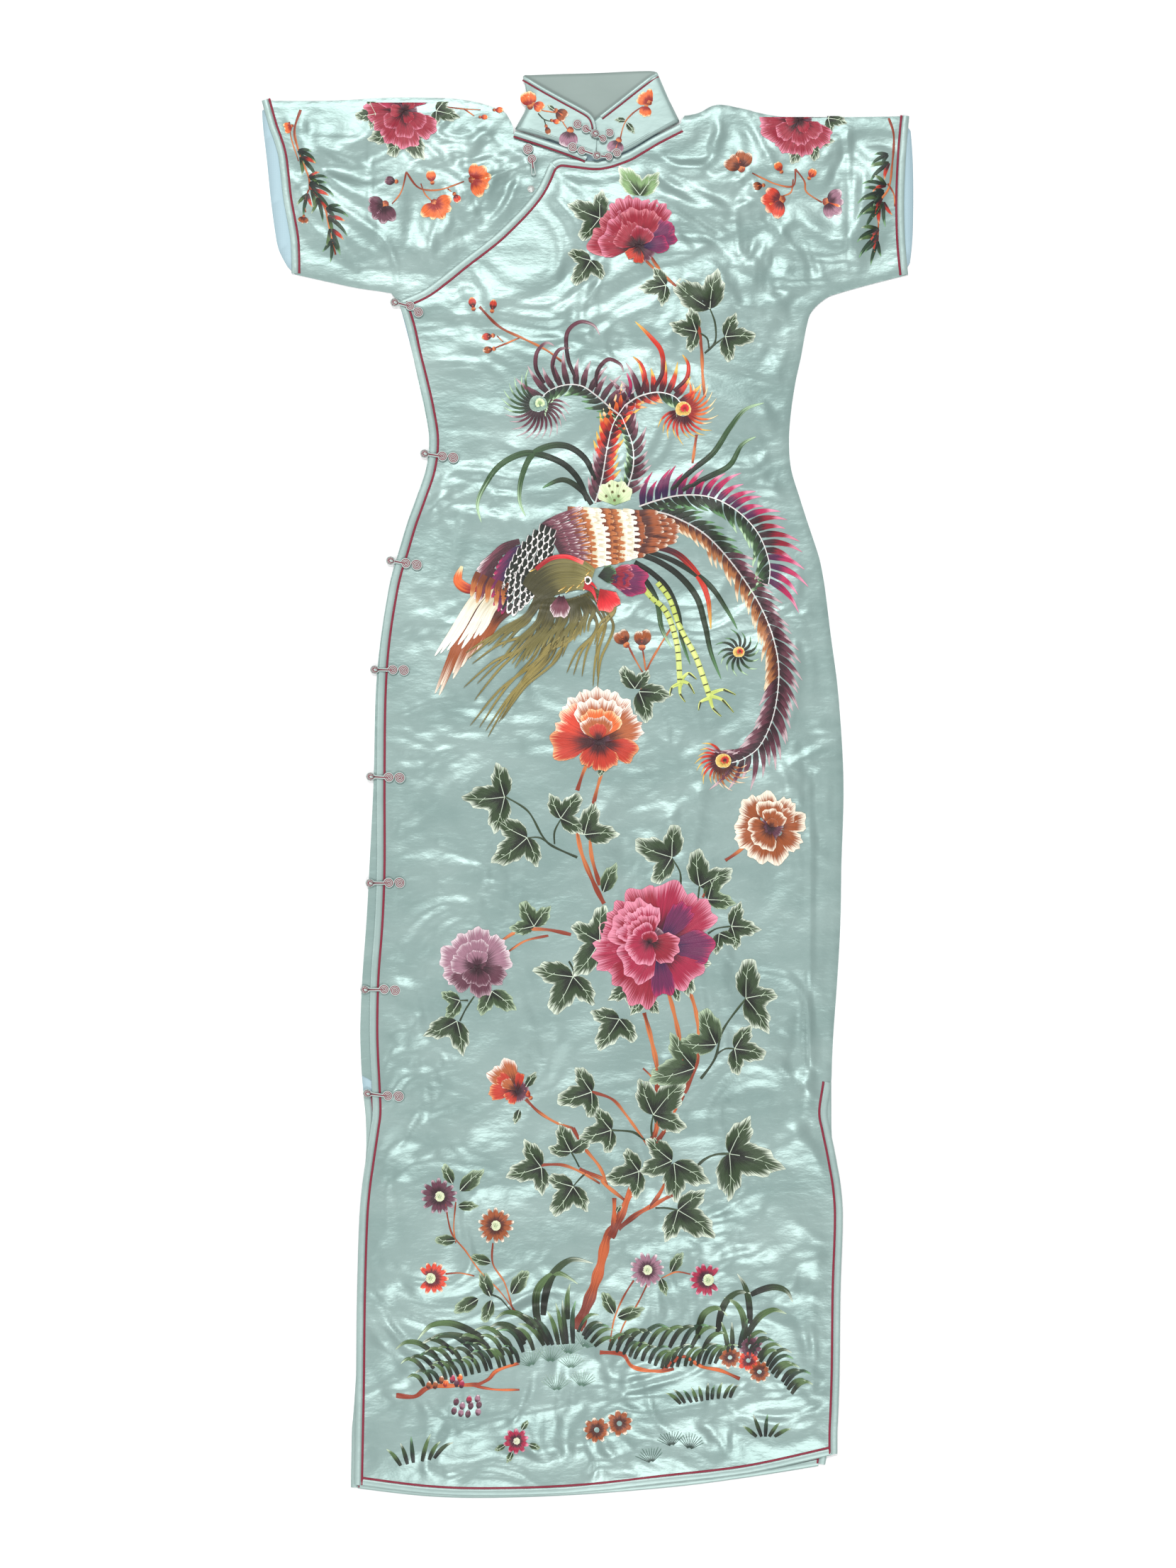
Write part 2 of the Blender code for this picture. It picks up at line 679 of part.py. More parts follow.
def make_frogs(silk, steel):
    """Eight frogs down the side, one loop at the neck, and two frogs on the collar."""
    over_piping = FRONT_TOP + GAP + PIPING_THICK + GAP
    knot_level = UNDER_BOTTOM + CLOTH + GAP
    for frog in SIDE_FROGS:
        frog_end(f"frog_{frog.name}", frog, over_piping, KNOT + GAP, silk)
        knot_button(f"knot_{frog.name}", frog, knot_level, silk)
    on_collar = COLLAR_OVER_Z + STIFFENED / 2 + GAP + PIPING_THICK + GAP
    for frog, end in zip(COLLAR_FROGS, COLLAR_KNOT_ENDS):
        frog_end(f"frog_{frog.name}", frog, on_collar, KNOT + GAP, silk)
        knot_button(f"knot_{frog.name}", frog, on_collar, silk)
        frog_end(f"frog_{frog.name}_end", end, on_collar, KNOT + GAP, silk)
    frog_end("frog_neck", NECK_LOOP, over_piping, 0.0, silk)
    stud = bmesh.new()
    add_disc(stud, *PRESS_STUD, PRESS_STUD_RADIUS, UNDER_BOTTOM + CLOTH + GAP, 1.4)
    finish(stud, "press_stud", steel)


def main():
    clear_scene()
    satin = material("duchesse_satin", SATIN, 0.35)
    binding = material("binding_silk", BINDING_SILK, 0.45)
    piping = material("piping_silk", PIPING_RED, 0.45)
    steel = material("stud_steel", STUD_STEEL, 0.3, 1.0)
    runs = make_outlines()
    make_body_panels(runs, satin)
    make_bound_edges(runs, binding, piping)
    make_collar(satin, binding, piping)
    make_frogs(binding, steel)


main()
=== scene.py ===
"""The looks of a long embroidered cheongsam that lies flat on its back."""

import math
from collections import namedtuple

import bmesh
import bpy
import numpy as np
from mathutils import Matrix, Vector
from mathutils.kdtree import KDTree


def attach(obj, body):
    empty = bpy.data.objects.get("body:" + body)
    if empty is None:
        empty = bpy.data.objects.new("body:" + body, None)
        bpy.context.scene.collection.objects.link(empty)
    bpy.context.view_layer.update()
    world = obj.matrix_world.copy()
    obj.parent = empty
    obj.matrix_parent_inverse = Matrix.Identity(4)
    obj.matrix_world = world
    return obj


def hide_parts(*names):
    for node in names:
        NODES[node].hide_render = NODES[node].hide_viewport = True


bl_info = {
    "name": "Embroidered cheongsam",
    "version": (1, 0, 0),
    "blender": (4, 5, 0),
    "location": "View3D > Sidebar > Cheongsam",
    "description": "Builds a satin cheongsam laid flat, with bound edges, frogs and silk embroidery",
    "category": "Add Mesh",
}

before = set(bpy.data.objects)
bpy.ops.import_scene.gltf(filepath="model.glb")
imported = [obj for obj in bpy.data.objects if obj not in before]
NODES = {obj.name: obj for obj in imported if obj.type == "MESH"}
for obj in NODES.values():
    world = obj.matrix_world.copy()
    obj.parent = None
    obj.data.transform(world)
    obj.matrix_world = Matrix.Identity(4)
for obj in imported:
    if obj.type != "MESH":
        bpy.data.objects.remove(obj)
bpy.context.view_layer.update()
MM = 0.001

# Heights in millimetres above the table, the same as in the solids.
BACK_TOP = 1.2
UNDER_TOP = 2.7
FRONT_STEP = 1.5  # the front rises by this much where it laps over the layers under it
LOFT = 1.5
LOFT_REACH = 60.0
COLLAR_THICK = 1.3

# ---- numbers ----


def smoothstep(low, high, value):
    share = np.clip((value - low) / (high - low), 0, 1)
    return share * share * (3 - 2 * share)


def linear(code):
    """A linear colour from an sRGB hex code."""
    parts = [int(code[i : i + 2], 16) / 255 for i in (1, 3, 5)]
    return tuple(c / 12.92 if c <= 0.04045 else ((c + 0.055) / 1.055) ** 2.4 for c in parts) + (1.0,)


def spline(points, chord=3.0):
    """Points about a chord apart on a smooth curve through the given ones, both ends included."""
    ends = np.array([points[0], *points, points[-1]], float)
    line = []
    for a, b, c, d in zip(ends, ends[1:], ends[2:], ends[3:]):
        steps = max(1, round(float(np.linalg.norm(c - b)) / chord))
        for t in np.arange(steps) / steps:
            bend = (2 * a - 5 * b + 4 * c - d) * t * t + (3 * b - a - 3 * c + d) * t**3
            line.append(0.5 * (2 * b + (c - a) * t + bend))
    return np.array(line + [ends[-1]])


def length_along(line):
    return np.concatenate([[0], np.cumsum(np.linalg.norm(np.diff(line, axis=0), axis=1))])


def part_of(line, start=0.0, end=0.0, chord=3.0):
    """The line without its first and last millimetres, in even steps."""
    along = length_along(line)
    at = np.linspace(start, along[-1] - end, max(2, round((along[-1] - start - end) / chord) + 1))
    return np.stack([np.interp(at, along, line[:, k]) for k in range(line.shape[1])], 1)


def sideways(line):
    """Unit vectors to the left of a flat line, at each of its points."""
    along = np.gradient(line[:, :2], axis=0)
    along /= np.maximum(np.linalg.norm(along, axis=1), 1e-9)[:, None]
    return np.stack([-along[:, 1], along[:, 0]], 1)


def inside(outline, x, y):
    hits = np.zeros(np.shape(x), bool)
    for (x0, y0), (x1, y1) in zip(outline, np.roll(outline, -1, 0)):
        if y0 != y1:
            crossing = x0 + (y - y0) * (x1 - x0) / (y1 - y0)
            hits ^= ((y0 > y) != (y1 > y)) & (x < crossing)
    return hits


def search_tree(line, chord):
    """A tree of the line's points, a chord apart, that finds the one nearest to any place."""
    dense = part_of(line, chord=chord)
    tree = KDTree(len(dense))
    for i, (x, y) in enumerate(dense[:, :2]):
        tree.insert((x, y, 0), i)
    tree.balance()
    return tree


def distance_to(line):
    """A function that gives the distances of points from a line, from its points 1 mm apart."""
    tree = search_tree(line, 1.0)
    return lambda x, y: np.array([tree.find((a, b, 0))[2] for a, b in zip(x, y)])


# ---- outlines, taken from the solids ----
CORNER_TURN = 38.0  # degrees; a sharper turn in an outline stays a corner


def outline_of(name):
    """A panel's outline, anticlockwise from above, in millimetres, and which points are corners."""
    bm = bmesh.new()
    bm.from_mesh(NODES[name].data)
    bmesh.ops.remove_doubles(bm, verts=bm.verts, dist=1e-5)
    below = [face for face in bm.faces if face.normal.z < 0.3]
    bmesh.ops.delete(bm, geom=below, context="FACES")
    links = {}
    for edge in bm.edges:
        if edge.is_boundary:
            loop = edge.link_loops[0]
            links[loop.vert] = loop.link_loop_next.vert
    start = vert = next(iter(links))
    points = []
    while not points or vert is not start:
        points.append((vert.co.x / MM, vert.co.y / MM))
        vert = links[vert]
    bm.free()
    points = np.array(points)
    before = points - np.roll(points, 1, 0)
    after = np.roll(points, -1, 0) - points
    turn = np.abs(np.angle((after[:, 0] + 1j * after[:, 1]) / (before[:, 0] + 1j * before[:, 1])))
    return points, np.degrees(turn) > CORNER_TURN


def smooth_outline(name):
    """The outline with its facets smoothed into curves between the corners."""
    points, corner = outline_of(name)
    first = int(np.argmax(corner))
    points = np.roll(points, -first, 0)
    at = [*np.flatnonzero(np.roll(corner, -first)), len(points)]
    closed = np.concatenate([points, points[:1]])
    runs = [spline(closed[a : b + 1])[:-1] for a, b in zip(at, at[1:])]
    return np.concatenate(runs)


def run_between(outline, start, stop):
    """The stretch of an outline from its point nearest to start, anticlockwise, to stop."""
    first, last = (int(np.argmin(np.hypot(*(outline - p).T))) for p in (start, stop))
    span = (last - first) % len(outline)
    return np.roll(outline, -first, 0)[: span + 1]


FRONT = smooth_outline("front_panel")
SHOULDER = smooth_outline("right_shoulder_panel")
BACK = smooth_outline("back_panel")
EXTENSION = smooth_outline("side_extension")

# The corners of the front, named for the wearer's side, as (x, y) in millimetres.
OPENING_TOP = (-37, 603)
ARMHOLE = (-184, 470)
HEM_RIGHT = (-227, -681)
HEM_LEFT = (243, -651)
SLIT_TOP_LEFT = (237, -290)
SLIT_TOP_RIGHT = (-210, -302)
CUFF_LOW_LEFT = (312, 496)
CUFF_HIGH_LEFT = (313, 650)
NECK_LEFT = (92, 650)
NECK_FOOT = (91, 643)
CUFF_HIGH_RIGHT = (-317, 665)
CUFF_LOW_RIGHT = (-288, 497)
BACK_HEM_RIGHT = (-230, -684)
BACK_HEM_LEFT = (231, -662)

DIAGONAL = run_between(FRONT, OPENING_TOP, ARMHOLE)
SIDE_OPENING = run_between(FRONT, ARMHOLE, HEM_RIGHT)
HEM = run_between(FRONT, HEM_RIGHT, HEM_LEFT)
SLIT = run_between(FRONT, HEM_LEFT, SLIT_TOP_LEFT)
SIDE_SEAM = run_between(FRONT, SLIT_TOP_LEFT, CUFF_LOW_LEFT)
CUFF_LEFT = run_between(FRONT, CUFF_LOW_LEFT, CUFF_HIGH_LEFT)
SHOULDER_FOLD = run_between(FRONT, CUFF_HIGH_LEFT, NECK_LEFT)
NECKLINE = run_between(FRONT, NECK_FOOT, OPENING_TOP)
CUFF_RIGHT = run_between(SHOULDER, CUFF_HIGH_RIGHT, CUFF_LOW_RIGHT)
RIGHT_FOLD = run_between(SHOULDER, (-73, 641), CUFF_HIGH_RIGHT)
RIGHT_UNDER = run_between(SHOULDER, CUFF_LOW_RIGHT, ARMHOLE)
BACK_HEM = run_between(BACK, BACK_HEM_RIGHT, BACK_HEM_LEFT)

# ---- the lie of the cloth ----
# Creases and folds, listed one by one. A fold runs through three points; a low one is a trough.
Crease = namedtuple("Crease", "x0 y0 x1 y1 x2 y2 wide high")
CREASES = [Crease(*row) for row in [
    # pressed in while the dress lay folded
    (-211, 636, -211, 590, -212, 540, 2.2, -0.9), (-301, 631, -255, 633, -208, 634, 2, -0.7),
    (254, 650, 254, 570, 253, 482, 2.6, 1.3), (215, 40, 217, -80, 214, -292, 2.4, 1.3),
    (222, 20, 224, -80, 221, -210, 5, -0.8), (-184, 10, -183, -110, -184, -220, 3.5, 0.7),
    (-144, 20, -145, -140, -143, -290, 3.5, 0.6),
    # the bust darts
    (-172, 438, -146, 442, -121, 444, 1.5, -1.1), (-161, 404, -136, 407, -112, 409, 1.5, -1),
    (150, 434, 176, 428, 203, 416, 1.5, -1), (140, 400, 160, 395, 201, 384, 1.5, -1),
    # beside the neck, on the wearer's left
    (58, 617, 88, 609, 119, 616, 5, -2.6), (70, 600, 110, 600, 128, 622, 5.5, 2.4),
    (119, 616, 128, 634, 124, 654, 6, 3.4), (112, 622, 115, 640, 109, 651, 5, -2.2),
    (140, 657, 152, 640, 166, 620, 5, -1.6), (152, 656, 170, 622, 186, 590, 4, 1.7),
    (120, 604, 150, 585, 178, 560, 5, 1.3), (150, 606, 172, 566, 196, 528, 3.4, 1.6),
    (160, 560, 190, 532, 216, 500, 3.5, 1.5), (200, 560, 214, 520, 220, 474, 5, -1.4),
    (208, 540, 226, 500, 232, 478, 3.5, 1.2), (60, 588, 110, 578, 150, 570, 6, -0.9),
    (96, 530, 140, 520, 178, 496, 5, 1.1), (110, 505, 150, 498, 204, 470, 5, -1),
    (130, 470, 170, 462, 208, 448, 4, 1), (60, 512, 108, 520, 134, 546, 4, 1),
    # from the shoulder frog and the opening, on the wearer's right
    (-56, 606, -88, 628, -124, 641, 4, 1.9), (-60, 600, -92, 612, -118, 606, 5.5, -1.7),
    (-86, 606, -98, 574, -120, 548, 4.2, 2), (-72, 596, -84, 566, -104, 540, 4, -1.8),
    (-66, 594, -76, 568, -84, 552, 3, 1.8), (-124, 641, -150, 628, -166, 604, 7, 1.4),
    (-140, 560, -152, 530, -154, 508, 3, 1.2), (-214, 545, -190, 516, -184, 480, 3, 1.6),
    (-206, 500, -194, 488, -186, 474, 4, -1.2), (-234, 545, -236, 510, -238, 492, 4, 0.9),
    (-206, 566, -204, 536, -216, 510, 6, -1), (-150, 520, -110, 540, -88, 560, 5, -1),
    (-62, 555, -90, 525, -150, 484, 5, 0.8),
    # across the bust and the waist
    (-120, 470, -60, 462, 10, 458, 6, 0.8), (-100, 452, -30, 444, 40, 450, 5, -0.7),
    (-40, 446, 40, 430, 90, 440, 5, 0.7), (-140, 372, -60, 356, 10, 362, 6, 0.8),
    (-150, 348, -80, 344, -20, 352, 6, -0.7), (-160, 268, -100, 258, -40, 262, 8, 0.9),
    (130, 312, 170, 306, 196, 314, 4, 0.9), (140, 290, 176, 286, 204, 276, 4, 0.9),
    (150, 262, 184, 258, 214, 246, 5, 0.8), (-188, 150, -120, 156, 60, 168, 6, 0.7),
    (-180, 140, -90, 148, 66, 158, 4, -0.6),
    # where the skirt pulls at the top of the slit, on the wearer's left
    (188, -182, 212, -212, 218, -292, 3, 2.4), (196, -176, 222, -216, 229, -276, 6, -2),
    (186, -272, 212, -294, 234, -312, 4, 2.4), (196, -262, 220, -280, 236, -296, 4, -2),
    (150, -184, 176, -182, 196, -190, 3, 1), (212, -300, 226, -330, 236, -350, 5, 1.3),
    # beside the lowest frogs, on the wearer's right
    (-200, -288, -192, -262, -184, -252, 3, 1.6), (-196, -316, -186, -292, -178, -278, 3.5, 1.4),
    (-204, -244, -176, -238, -158, -222, 4, 1), (-198, -262, -170, -260, -150, -252, 4, -0.9),
    # across the hem
    (-204, -500, -186, -536, -168, -560, 4, 1.8), (-200, -590, -164, -600, -130, -628, 5, 1.8),
    (-160, -606, -120, -616, -60, -606, 6, -1.2), (-130, -630, -60, -612, 30, -596, 5, 1.7),
    (-90, -650, 0, -640, 46, -612, 5, 1.4), (-60, -668, 20, -656, 60, -636, 4, -1.2),
    (58, -580, 64, -612, 90, -640, 3, 1.6), (62, -582, 110, -578, 170, -592, 4, 1.2),
    (100, -612, 130, -640, 146, -664, 4, 1.2), (160, -560, 196, -590, 226, -606, 5, 1.5),
    (150, -610, 190, -624, 232, -628, 5, -1.2), (110, -540, 170, -520, 226, -540, 6, 1.2),
    (30, -566, 90, -556, 140, -566, 6, -1), (196, -420, 220, -440, 240, -446, 5, 1.4),
    (190, -330, 216, -350, 232, -386, 5, 1.3), (60, -350, 120, -340, 200, -352, 7, 1.2),
    (20, -322, 90, -318, 180, -308, 6, 0.9), (90, -372, 150, -366, 210, -374, 6, -1),
    (-70, -322, -50, -300, -10, -282, 6, 1.1), (-200, -342, -150, -352, -100, -346, 7, 1.1),
    (-190, -372, -130, -366, -80, -380, 7, -0.9),
]]
RASTER = 2.0
RASTER_X = np.arange(-340.0, 341.0, RASTER)
RASTER_Y = np.arange(-710.0, 711.0, RASTER)


def waves(x, y, seed, count, short, long, lean, spread):
    """A smooth random surface of about unit height, whose ripples run across the lean angle."""
    draw = np.random.default_rng(seed)
    total = np.zeros_like(x)
    for _ in range(count):
        wavelength = short * (long / short) ** draw.random()
        angle = lean + spread * draw.normal()
        phase = draw.uniform(0, 2 * math.pi)
        pace = 2 * math.pi / wavelength
        total += (wavelength / long) * np.cos(pace * (x * math.cos(angle) + y * math.sin(angle)) + phase)
    return total / total.std()


def crease_height(x, y, crease):
    """A soft ridge or trough, deepest in its middle and fading out at both ends."""
    line = spline([crease[0:2], crease[2:4], crease[4:6]], chord=6.0)
    along = length_along(line)
    nearest = np.full(x.shape, 1e9)
    place = np.zeros_like(x)
    for i in range(len(line) - 1):
        step = line[i + 1] - line[i]
        share = np.clip(((x - line[i][0]) * step[0] + (y - line[i][1]) * step[1]) / (step @ step), 0, 1)
        gap = np.hypot(x - line[i][0] - share * step[0], y - line[i][1] - share * step[1])
        closer = gap < nearest
        nearest = np.where(closer, gap, nearest)
        place = np.where(closer, (along[i] + share * (along[i + 1] - along[i])) / along[-1], place)
    fade = np.clip(4 * place * (1 - place), 0, 1) ** 0.6
    return crease.high * fade * np.exp(-((nearest / crease.wide) ** 1.6))


def make_relief():
    """The ripples and creases of the satin, on a raster over the whole dress."""
    x, y = np.meshgrid(RASTER_X, RASTER_Y)
    across = math.pi / 2
    push_x = 16 * waves(x, y, 1, 14, 90, 260, 0.0, 2.0)
    push_y = 16 * waves(x, y, 2, 14, 90, 260, 0.0, 2.0)
    u, v = x + push_x, y + push_y
    calm = smoothstep(-470, -300, y) * (1 - smoothstep(-60, 120, y))
    rough = smoothstep(400, 520, y) + 1 - smoothstep(-560, -400, y)
    ripple = waves(u, v, 3, 60, 26, 105, across + 0.12, 0.42)
    streak = waves(u, v, 4, 40, 30, 120, 0.0, 0.22)
    crumple = waves(u * 1.1, v, 5, 60, 13, 34, across, 0.8)
    sharp = 1 - np.minimum(np.abs(waves(u, v, 6, 40, 40, 130, across + 0.3, 0.7)) * 1.6, 1)
    patch = smoothstep(-0.6, 1.2, waves(x, y, 7, 20, 110, 300, 0.0, 2.0))
    field = ripple * (1.0 - 0.55 * calm + 0.25 * rough)
    field += streak * (0.12 + 0.70 * calm)
    field += crumple * (0.15 + 0.17 * patch + 0.16 * rough - 0.08 * calm)
    field += sharp * (0.5 + 0.7 * patch + 0.5 * rough - 0.4 * calm)
    for crease in CREASES:
        field += crease_height(x, y, crease)
    return field


RELIEF = make_relief()


def relief_at(x, y):
    """The raster's height at any points, between its nearest four."""
    col = np.clip((x - RASTER_X[0]) / RASTER, 0, len(RASTER_X) - 1.001)
    row = np.clip((y - RASTER_Y[0]) / RASTER, 0, len(RASTER_Y) - 1.001)
    i, j = col.astype(int), row.astype(int)
    s, t = col - i, row - j
    low = RELIEF[j, i] * (1 - s) + RELIEF[j, i + 1] * s
    high = RELIEF[j + 1, i] * (1 - s) + RELIEF[j + 1, i + 1] * s
    return low * (1 - t) + high * t


class Layer:
    """One layer of cloth: its outline, and its height at any point."""

    def __init__(self, outline, seams, level, step=0.0, relief=1.0, loft=LOFT, under=None):
        self.outline = outline
        self.edge = distance_to(np.concatenate([outline, outline[:1]]))
        self.seam = distance_to(np.concatenate(seams)) if seams else None
        self.under = distance_to(under) if under is not None else None
        self.level, self.step, self.relief, self.loft = level, step, relief, loft

    def height(self, x, y):
        x, y = np.asarray(x, float), np.asarray(y, float)
        away = self.edge(x, y)
        lap = np.maximum(1 - smoothstep(110, 190, x), 1 - smoothstep(-330, -250, y))
        z = self.level + self.step * lap + self.loft * smoothstep(10, LOFT_REACH, away)
        waved = np.maximum(relief_at(x, y) + 0.6, -0.9 - self.loft * smoothstep(10, LOFT_REACH, away))
        z = z + self.relief * waved * smoothstep(2, 26, away)
        if self.under:
            # It lies flat where the front laps over it, and rises beside the front's edge.
            free = np.where(inside(FRONT, x, y), 0.0, smoothstep(0, 20, self.under(x, y)))
            z = self.level - 0.2 + (z - self.level + 0.2) * free
        if self.seam:
            turn = 1 - np.clip(self.seam(x, y) / 4.0, 0, 1)
            z = BACK_TOP + 0.2 + (z - BACK_TOP - 0.2) * np.sqrt(np.clip(1 - turn * turn, 0, 1))
        return z


FRONT_LAYER = Layer(FRONT, [SIDE_SEAM, SHOULDER_FOLD], UNDER_TOP, FRONT_STEP)
SHOULDER_LAYER = Layer(SHOULDER, [RIGHT_FOLD, RIGHT_UNDER], UNDER_TOP, under=DIAGONAL)
BACK_LAYER = Layer(BACK, [], BACK_TOP, relief=0.0, loft=0.0)
EXTENSION_LAYER = Layer(EXTENSION, [], UNDER_TOP, relief=0.25, loft=0.0)

# ---- meshes ----


def add_object(name, data):
    """Puts a mesh, a lamp or a camera into the scene."""
    made = bpy.data.objects.new(name, data)
    bpy.context.scene.collection.objects.link(made)
    return made


def finish_piece(bm, name, finishes, replaced=()):
    """Turns a mesh in millimetres into a piece of the dress that lies with its solids."""
    bmesh.ops.scale(bm, vec=(MM, MM, MM), verts=bm.verts)
    mesh = bpy.data.meshes.new(name)
    bm.to_mesh(mesh)
    bm.free()
    mesh.shade_smooth()
    piece = add_object(name, mesh)
    for finish in finishes:
        mesh.materials.append(finish_named(finish))
    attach(piece, "root")
    if replaced:
        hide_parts(*replaced)
    return piece


def add_grid(bm, across, along, place):
    """A grid of faces bent to a shape: place gives x, y and z for shares 0 to 1 each way."""
    made = bmesh.ops.create_grid(bm, x_segments=across, y_segments=along, size=0.5)["verts"]
    flat = np.array([vert.co[:2] for vert in made]) + 0.5
    spots = place(flat[:, 0], flat[:, 1])
    for vert, spot in zip(made, np.stack(spots, 1)):
        vert.co = spot
    return made, flat


def cloth_mesh(layer, spacing):
    """A fine grid cut to a layer's outline and laid over its height."""
    outline = layer.outline
    low, high = outline.min(0), outline.max(0)
    count = np.ceil((high - low) / spacing).astype(int)
    bm = bmesh.new()
    bmesh.ops.create_grid(bm, x_segments=int(count[0]), y_segments=int(count[1]), size=0.5)
    size, middle = count * spacing, (low + high) / 2
    bmesh.ops.scale(bm, vec=(size[0], size[1], 1), verts=bm.verts)
    bmesh.ops.translate(bm, vec=(middle[0], middle[1], 0), verts=bm.verts)
    spots = np.array([vert.co[:2] for vert in bm.verts])
    kept = inside(outline, spots[:, 0], spots[:, 1])
    near = layer.edge(spots[:, 0], spots[:, 1]) < spacing * 0.4
    outer = [vert for vert, stays in zip(list(bm.verts), kept & ~near) if not stays]
    bmesh.ops.delete(bm, geom=outer, context="VERTS")
    for _ in range(3):
        spare = [v for v in bm.verts if len(v.link_faces) < 2 and len(v.link_edges) < 3]
        lone = [v for v in spare if not v.link_faces or len(v.link_edges) < 2]
        bmesh.ops.delete(bm, geom=lone, context="VERTS")
    snap_to_outline(bm, outline, spacing)
    spots = np.array([vert.co[:2] for vert in bm.verts])
    for vert, z in zip(bm.verts, layer.height(spots[:, 0], spots[:, 1])):
        vert.co.z = z
    return bm


def snap_to_outline(bm, outline, spacing):
    """Moves the mesh's border onto the outline, and evens out the faces beside it."""
    tree = search_tree(np.concatenate([outline, outline[:1]]), 0.5)
    border = [vert for vert in bm.verts if vert.is_boundary]
    for vert in border:
        vert.co = tree.find(vert.co)[0]
    ring = {edge.other_vert(vert) for vert in border for edge in vert.link_edges}
    ring |= {edge.other_vert(vert) for vert in list(ring) for edge in vert.link_edges}
    inner = [vert for vert in ring if not vert.is_boundary]
    for _ in range(6):
        bmesh.ops.smooth_vert(
            bm, verts=inner, factor=0.5, use_axis_x=True, use_axis_y=True, use_axis_z=False
        )


def add_band(bm, line, near, far, profile, height):
    """A band beside a line; the profile's rows give a share of the way across and a lift."""
    side = sideways(line)
    shares, lifts = np.array(profile).T

    def place(across, along):
        i = np.rint(along * (len(line) - 1)).astype(int)
        k = np.rint(across * (len(profile) - 1)).astype(int)
        reach = near + (far - near) * shares[k]
        x, y = (line[i] + side[i] * reach[:, None]).T
        return x, y, height(x, y) + lifts[k]

    return add_grid(bm, len(profile) - 1, len(line) - 1, place)


def add_tube(bm, path, radius, sides=8, closed=False):
    """A cord along a path of points, round in section."""
    path = np.asarray(path, float)
    along = np.gradient(path, axis=0)
    along /= np.maximum(np.linalg.norm(along, axis=1), 1e-9)[:, None]
    side = np.cross(along, (0, 0, 1.0))
    side /= np.maximum(np.linalg.norm(side, axis=1), 1e-6)[:, None]
    up = np.cross(side, along)
    radii = np.broadcast_to(radius, len(path))

    def place(across, run):
        i = np.rint(run * (len(path) - 1)).astype(int)
        angle = 2 * math.pi * across
        reach = radii[i][:, None]
        ring = side[i] * np.cos(angle)[:, None] + up[i] * np.sin(angle)[:, None]
        return (path[i] + ring * reach).T

    made, _ = add_grid(bm, sides, len(path) - 1, place)
    bmesh.ops.remove_doubles(bm, verts=made, dist=0.02)
    if not closed:
        bmesh.ops.holes_fill(bm, edges=[e for e in bm.edges if e.is_boundary], sides=sides)


# ---- materials ----
DYES = ("root", "middle", "tip")  # the colours along a stitch, each an attribute of its mesh


def add_node(tree, kind, settings=None, links=None):
    """Adds a node, sets its properties and inputs, and links its inputs to other nodes' outputs."""
    node = tree.nodes.new("ShaderNode" + kind)
    for key, value in (settings or {}).items():
        if isinstance(key, str) and hasattr(node, key):
            setattr(node, key, value)
        else:
            node.inputs[key].default_value = value
    for key, source in (links or {}).items():
        tree.links.new(source, node.inputs[key])
    return node


def new_finish(name, settings):
    """A material with its shader's constants set, its node tree and its shader."""
    made = bpy.data.materials.new(name)
    made.use_nodes = True
    shader = made.node_tree.nodes["Principled BSDF"]
    for key, value in settings.items():
        shader.inputs[key].default_value = value
    return made, made.node_tree, shader


def blend_colours(tree, share, stops):
    """A colour ramp from (place, hex) stops, read at the share."""
    ramp = add_node(tree, "ValToRGB", links={"Fac": share})
    marks = ramp.color_ramp.elements
    while len(marks) < len(stops):
        marks.new(0.5)
    for mark, (at, code) in zip(marks, stops):
        mark.position, mark.color = at, linear(code)
    return ramp.outputs["Color"]


def noise_at(tree, place, scale, detail, roughness=0.5):
    """Noise read at the place, once that is scaled by its own factor along each axis."""
    scaled = add_node(tree, "Mapping", {"Scale": scale}, {"Vector": place}).outputs[0]
    settings = {"Scale": 1.0, "Detail": detail, "Roughness": roughness}
    return add_node(tree, "TexNoise", settings, {"Vector": scaled}).outputs["Fac"]


def bumps(tree, height, strength, distance, under=None):
    """A normal bent by a height, on top of the normal under it."""
    links = {"Height": height}
    if under:
        links["Normal"] = under
    settings = {"Strength": strength, "Distance": distance}
    return add_node(tree, "Bump", settings, links).outputs["Normal"]


def satin(name, pale, deep, roughness, metallic, bump=1.0):
    """Silk satin: long floats of bright thread, so it takes broad soft lights and dark hollows.

    Cloud-like patches of painted sheen and painted shade drift over its colour, and slubs run across the
    cloth along X.
    """
    settings = {"Roughness": roughness, "Metallic": metallic, "Specular IOR Level": 0.55}
    made, tree, shader = new_finish(name, settings)
    place = add_node(tree, "TexCoord").outputs["Object"]
    # Painted sheen and shade: soft cloud-like patches blend the deep colour into the pale one.
    painted_sheen = noise_at(tree, place, (9, 20, 9), 4.0, 0.55)
    colour = blend_colours(tree, painted_sheen, [(0.34, deep), (0.66, pale)])
    tree.links.new(colour, shader.inputs["Base Color"])
    # Slubs 0.8 mm apart and 8 mm long stand for the floats, which are too fine to show.
    fine = bumps(tree, noise_at(tree, place, (120, 1250, 120), 2.0), 0.10 * bump, 0.0004)
    broad = bumps(tree, noise_at(tree, place, (60, 110, 60), 3.0), 0.42 * bump, 0.0016, fine)
    tree.links.new(broad, shader.inputs["Normal"])
    return made


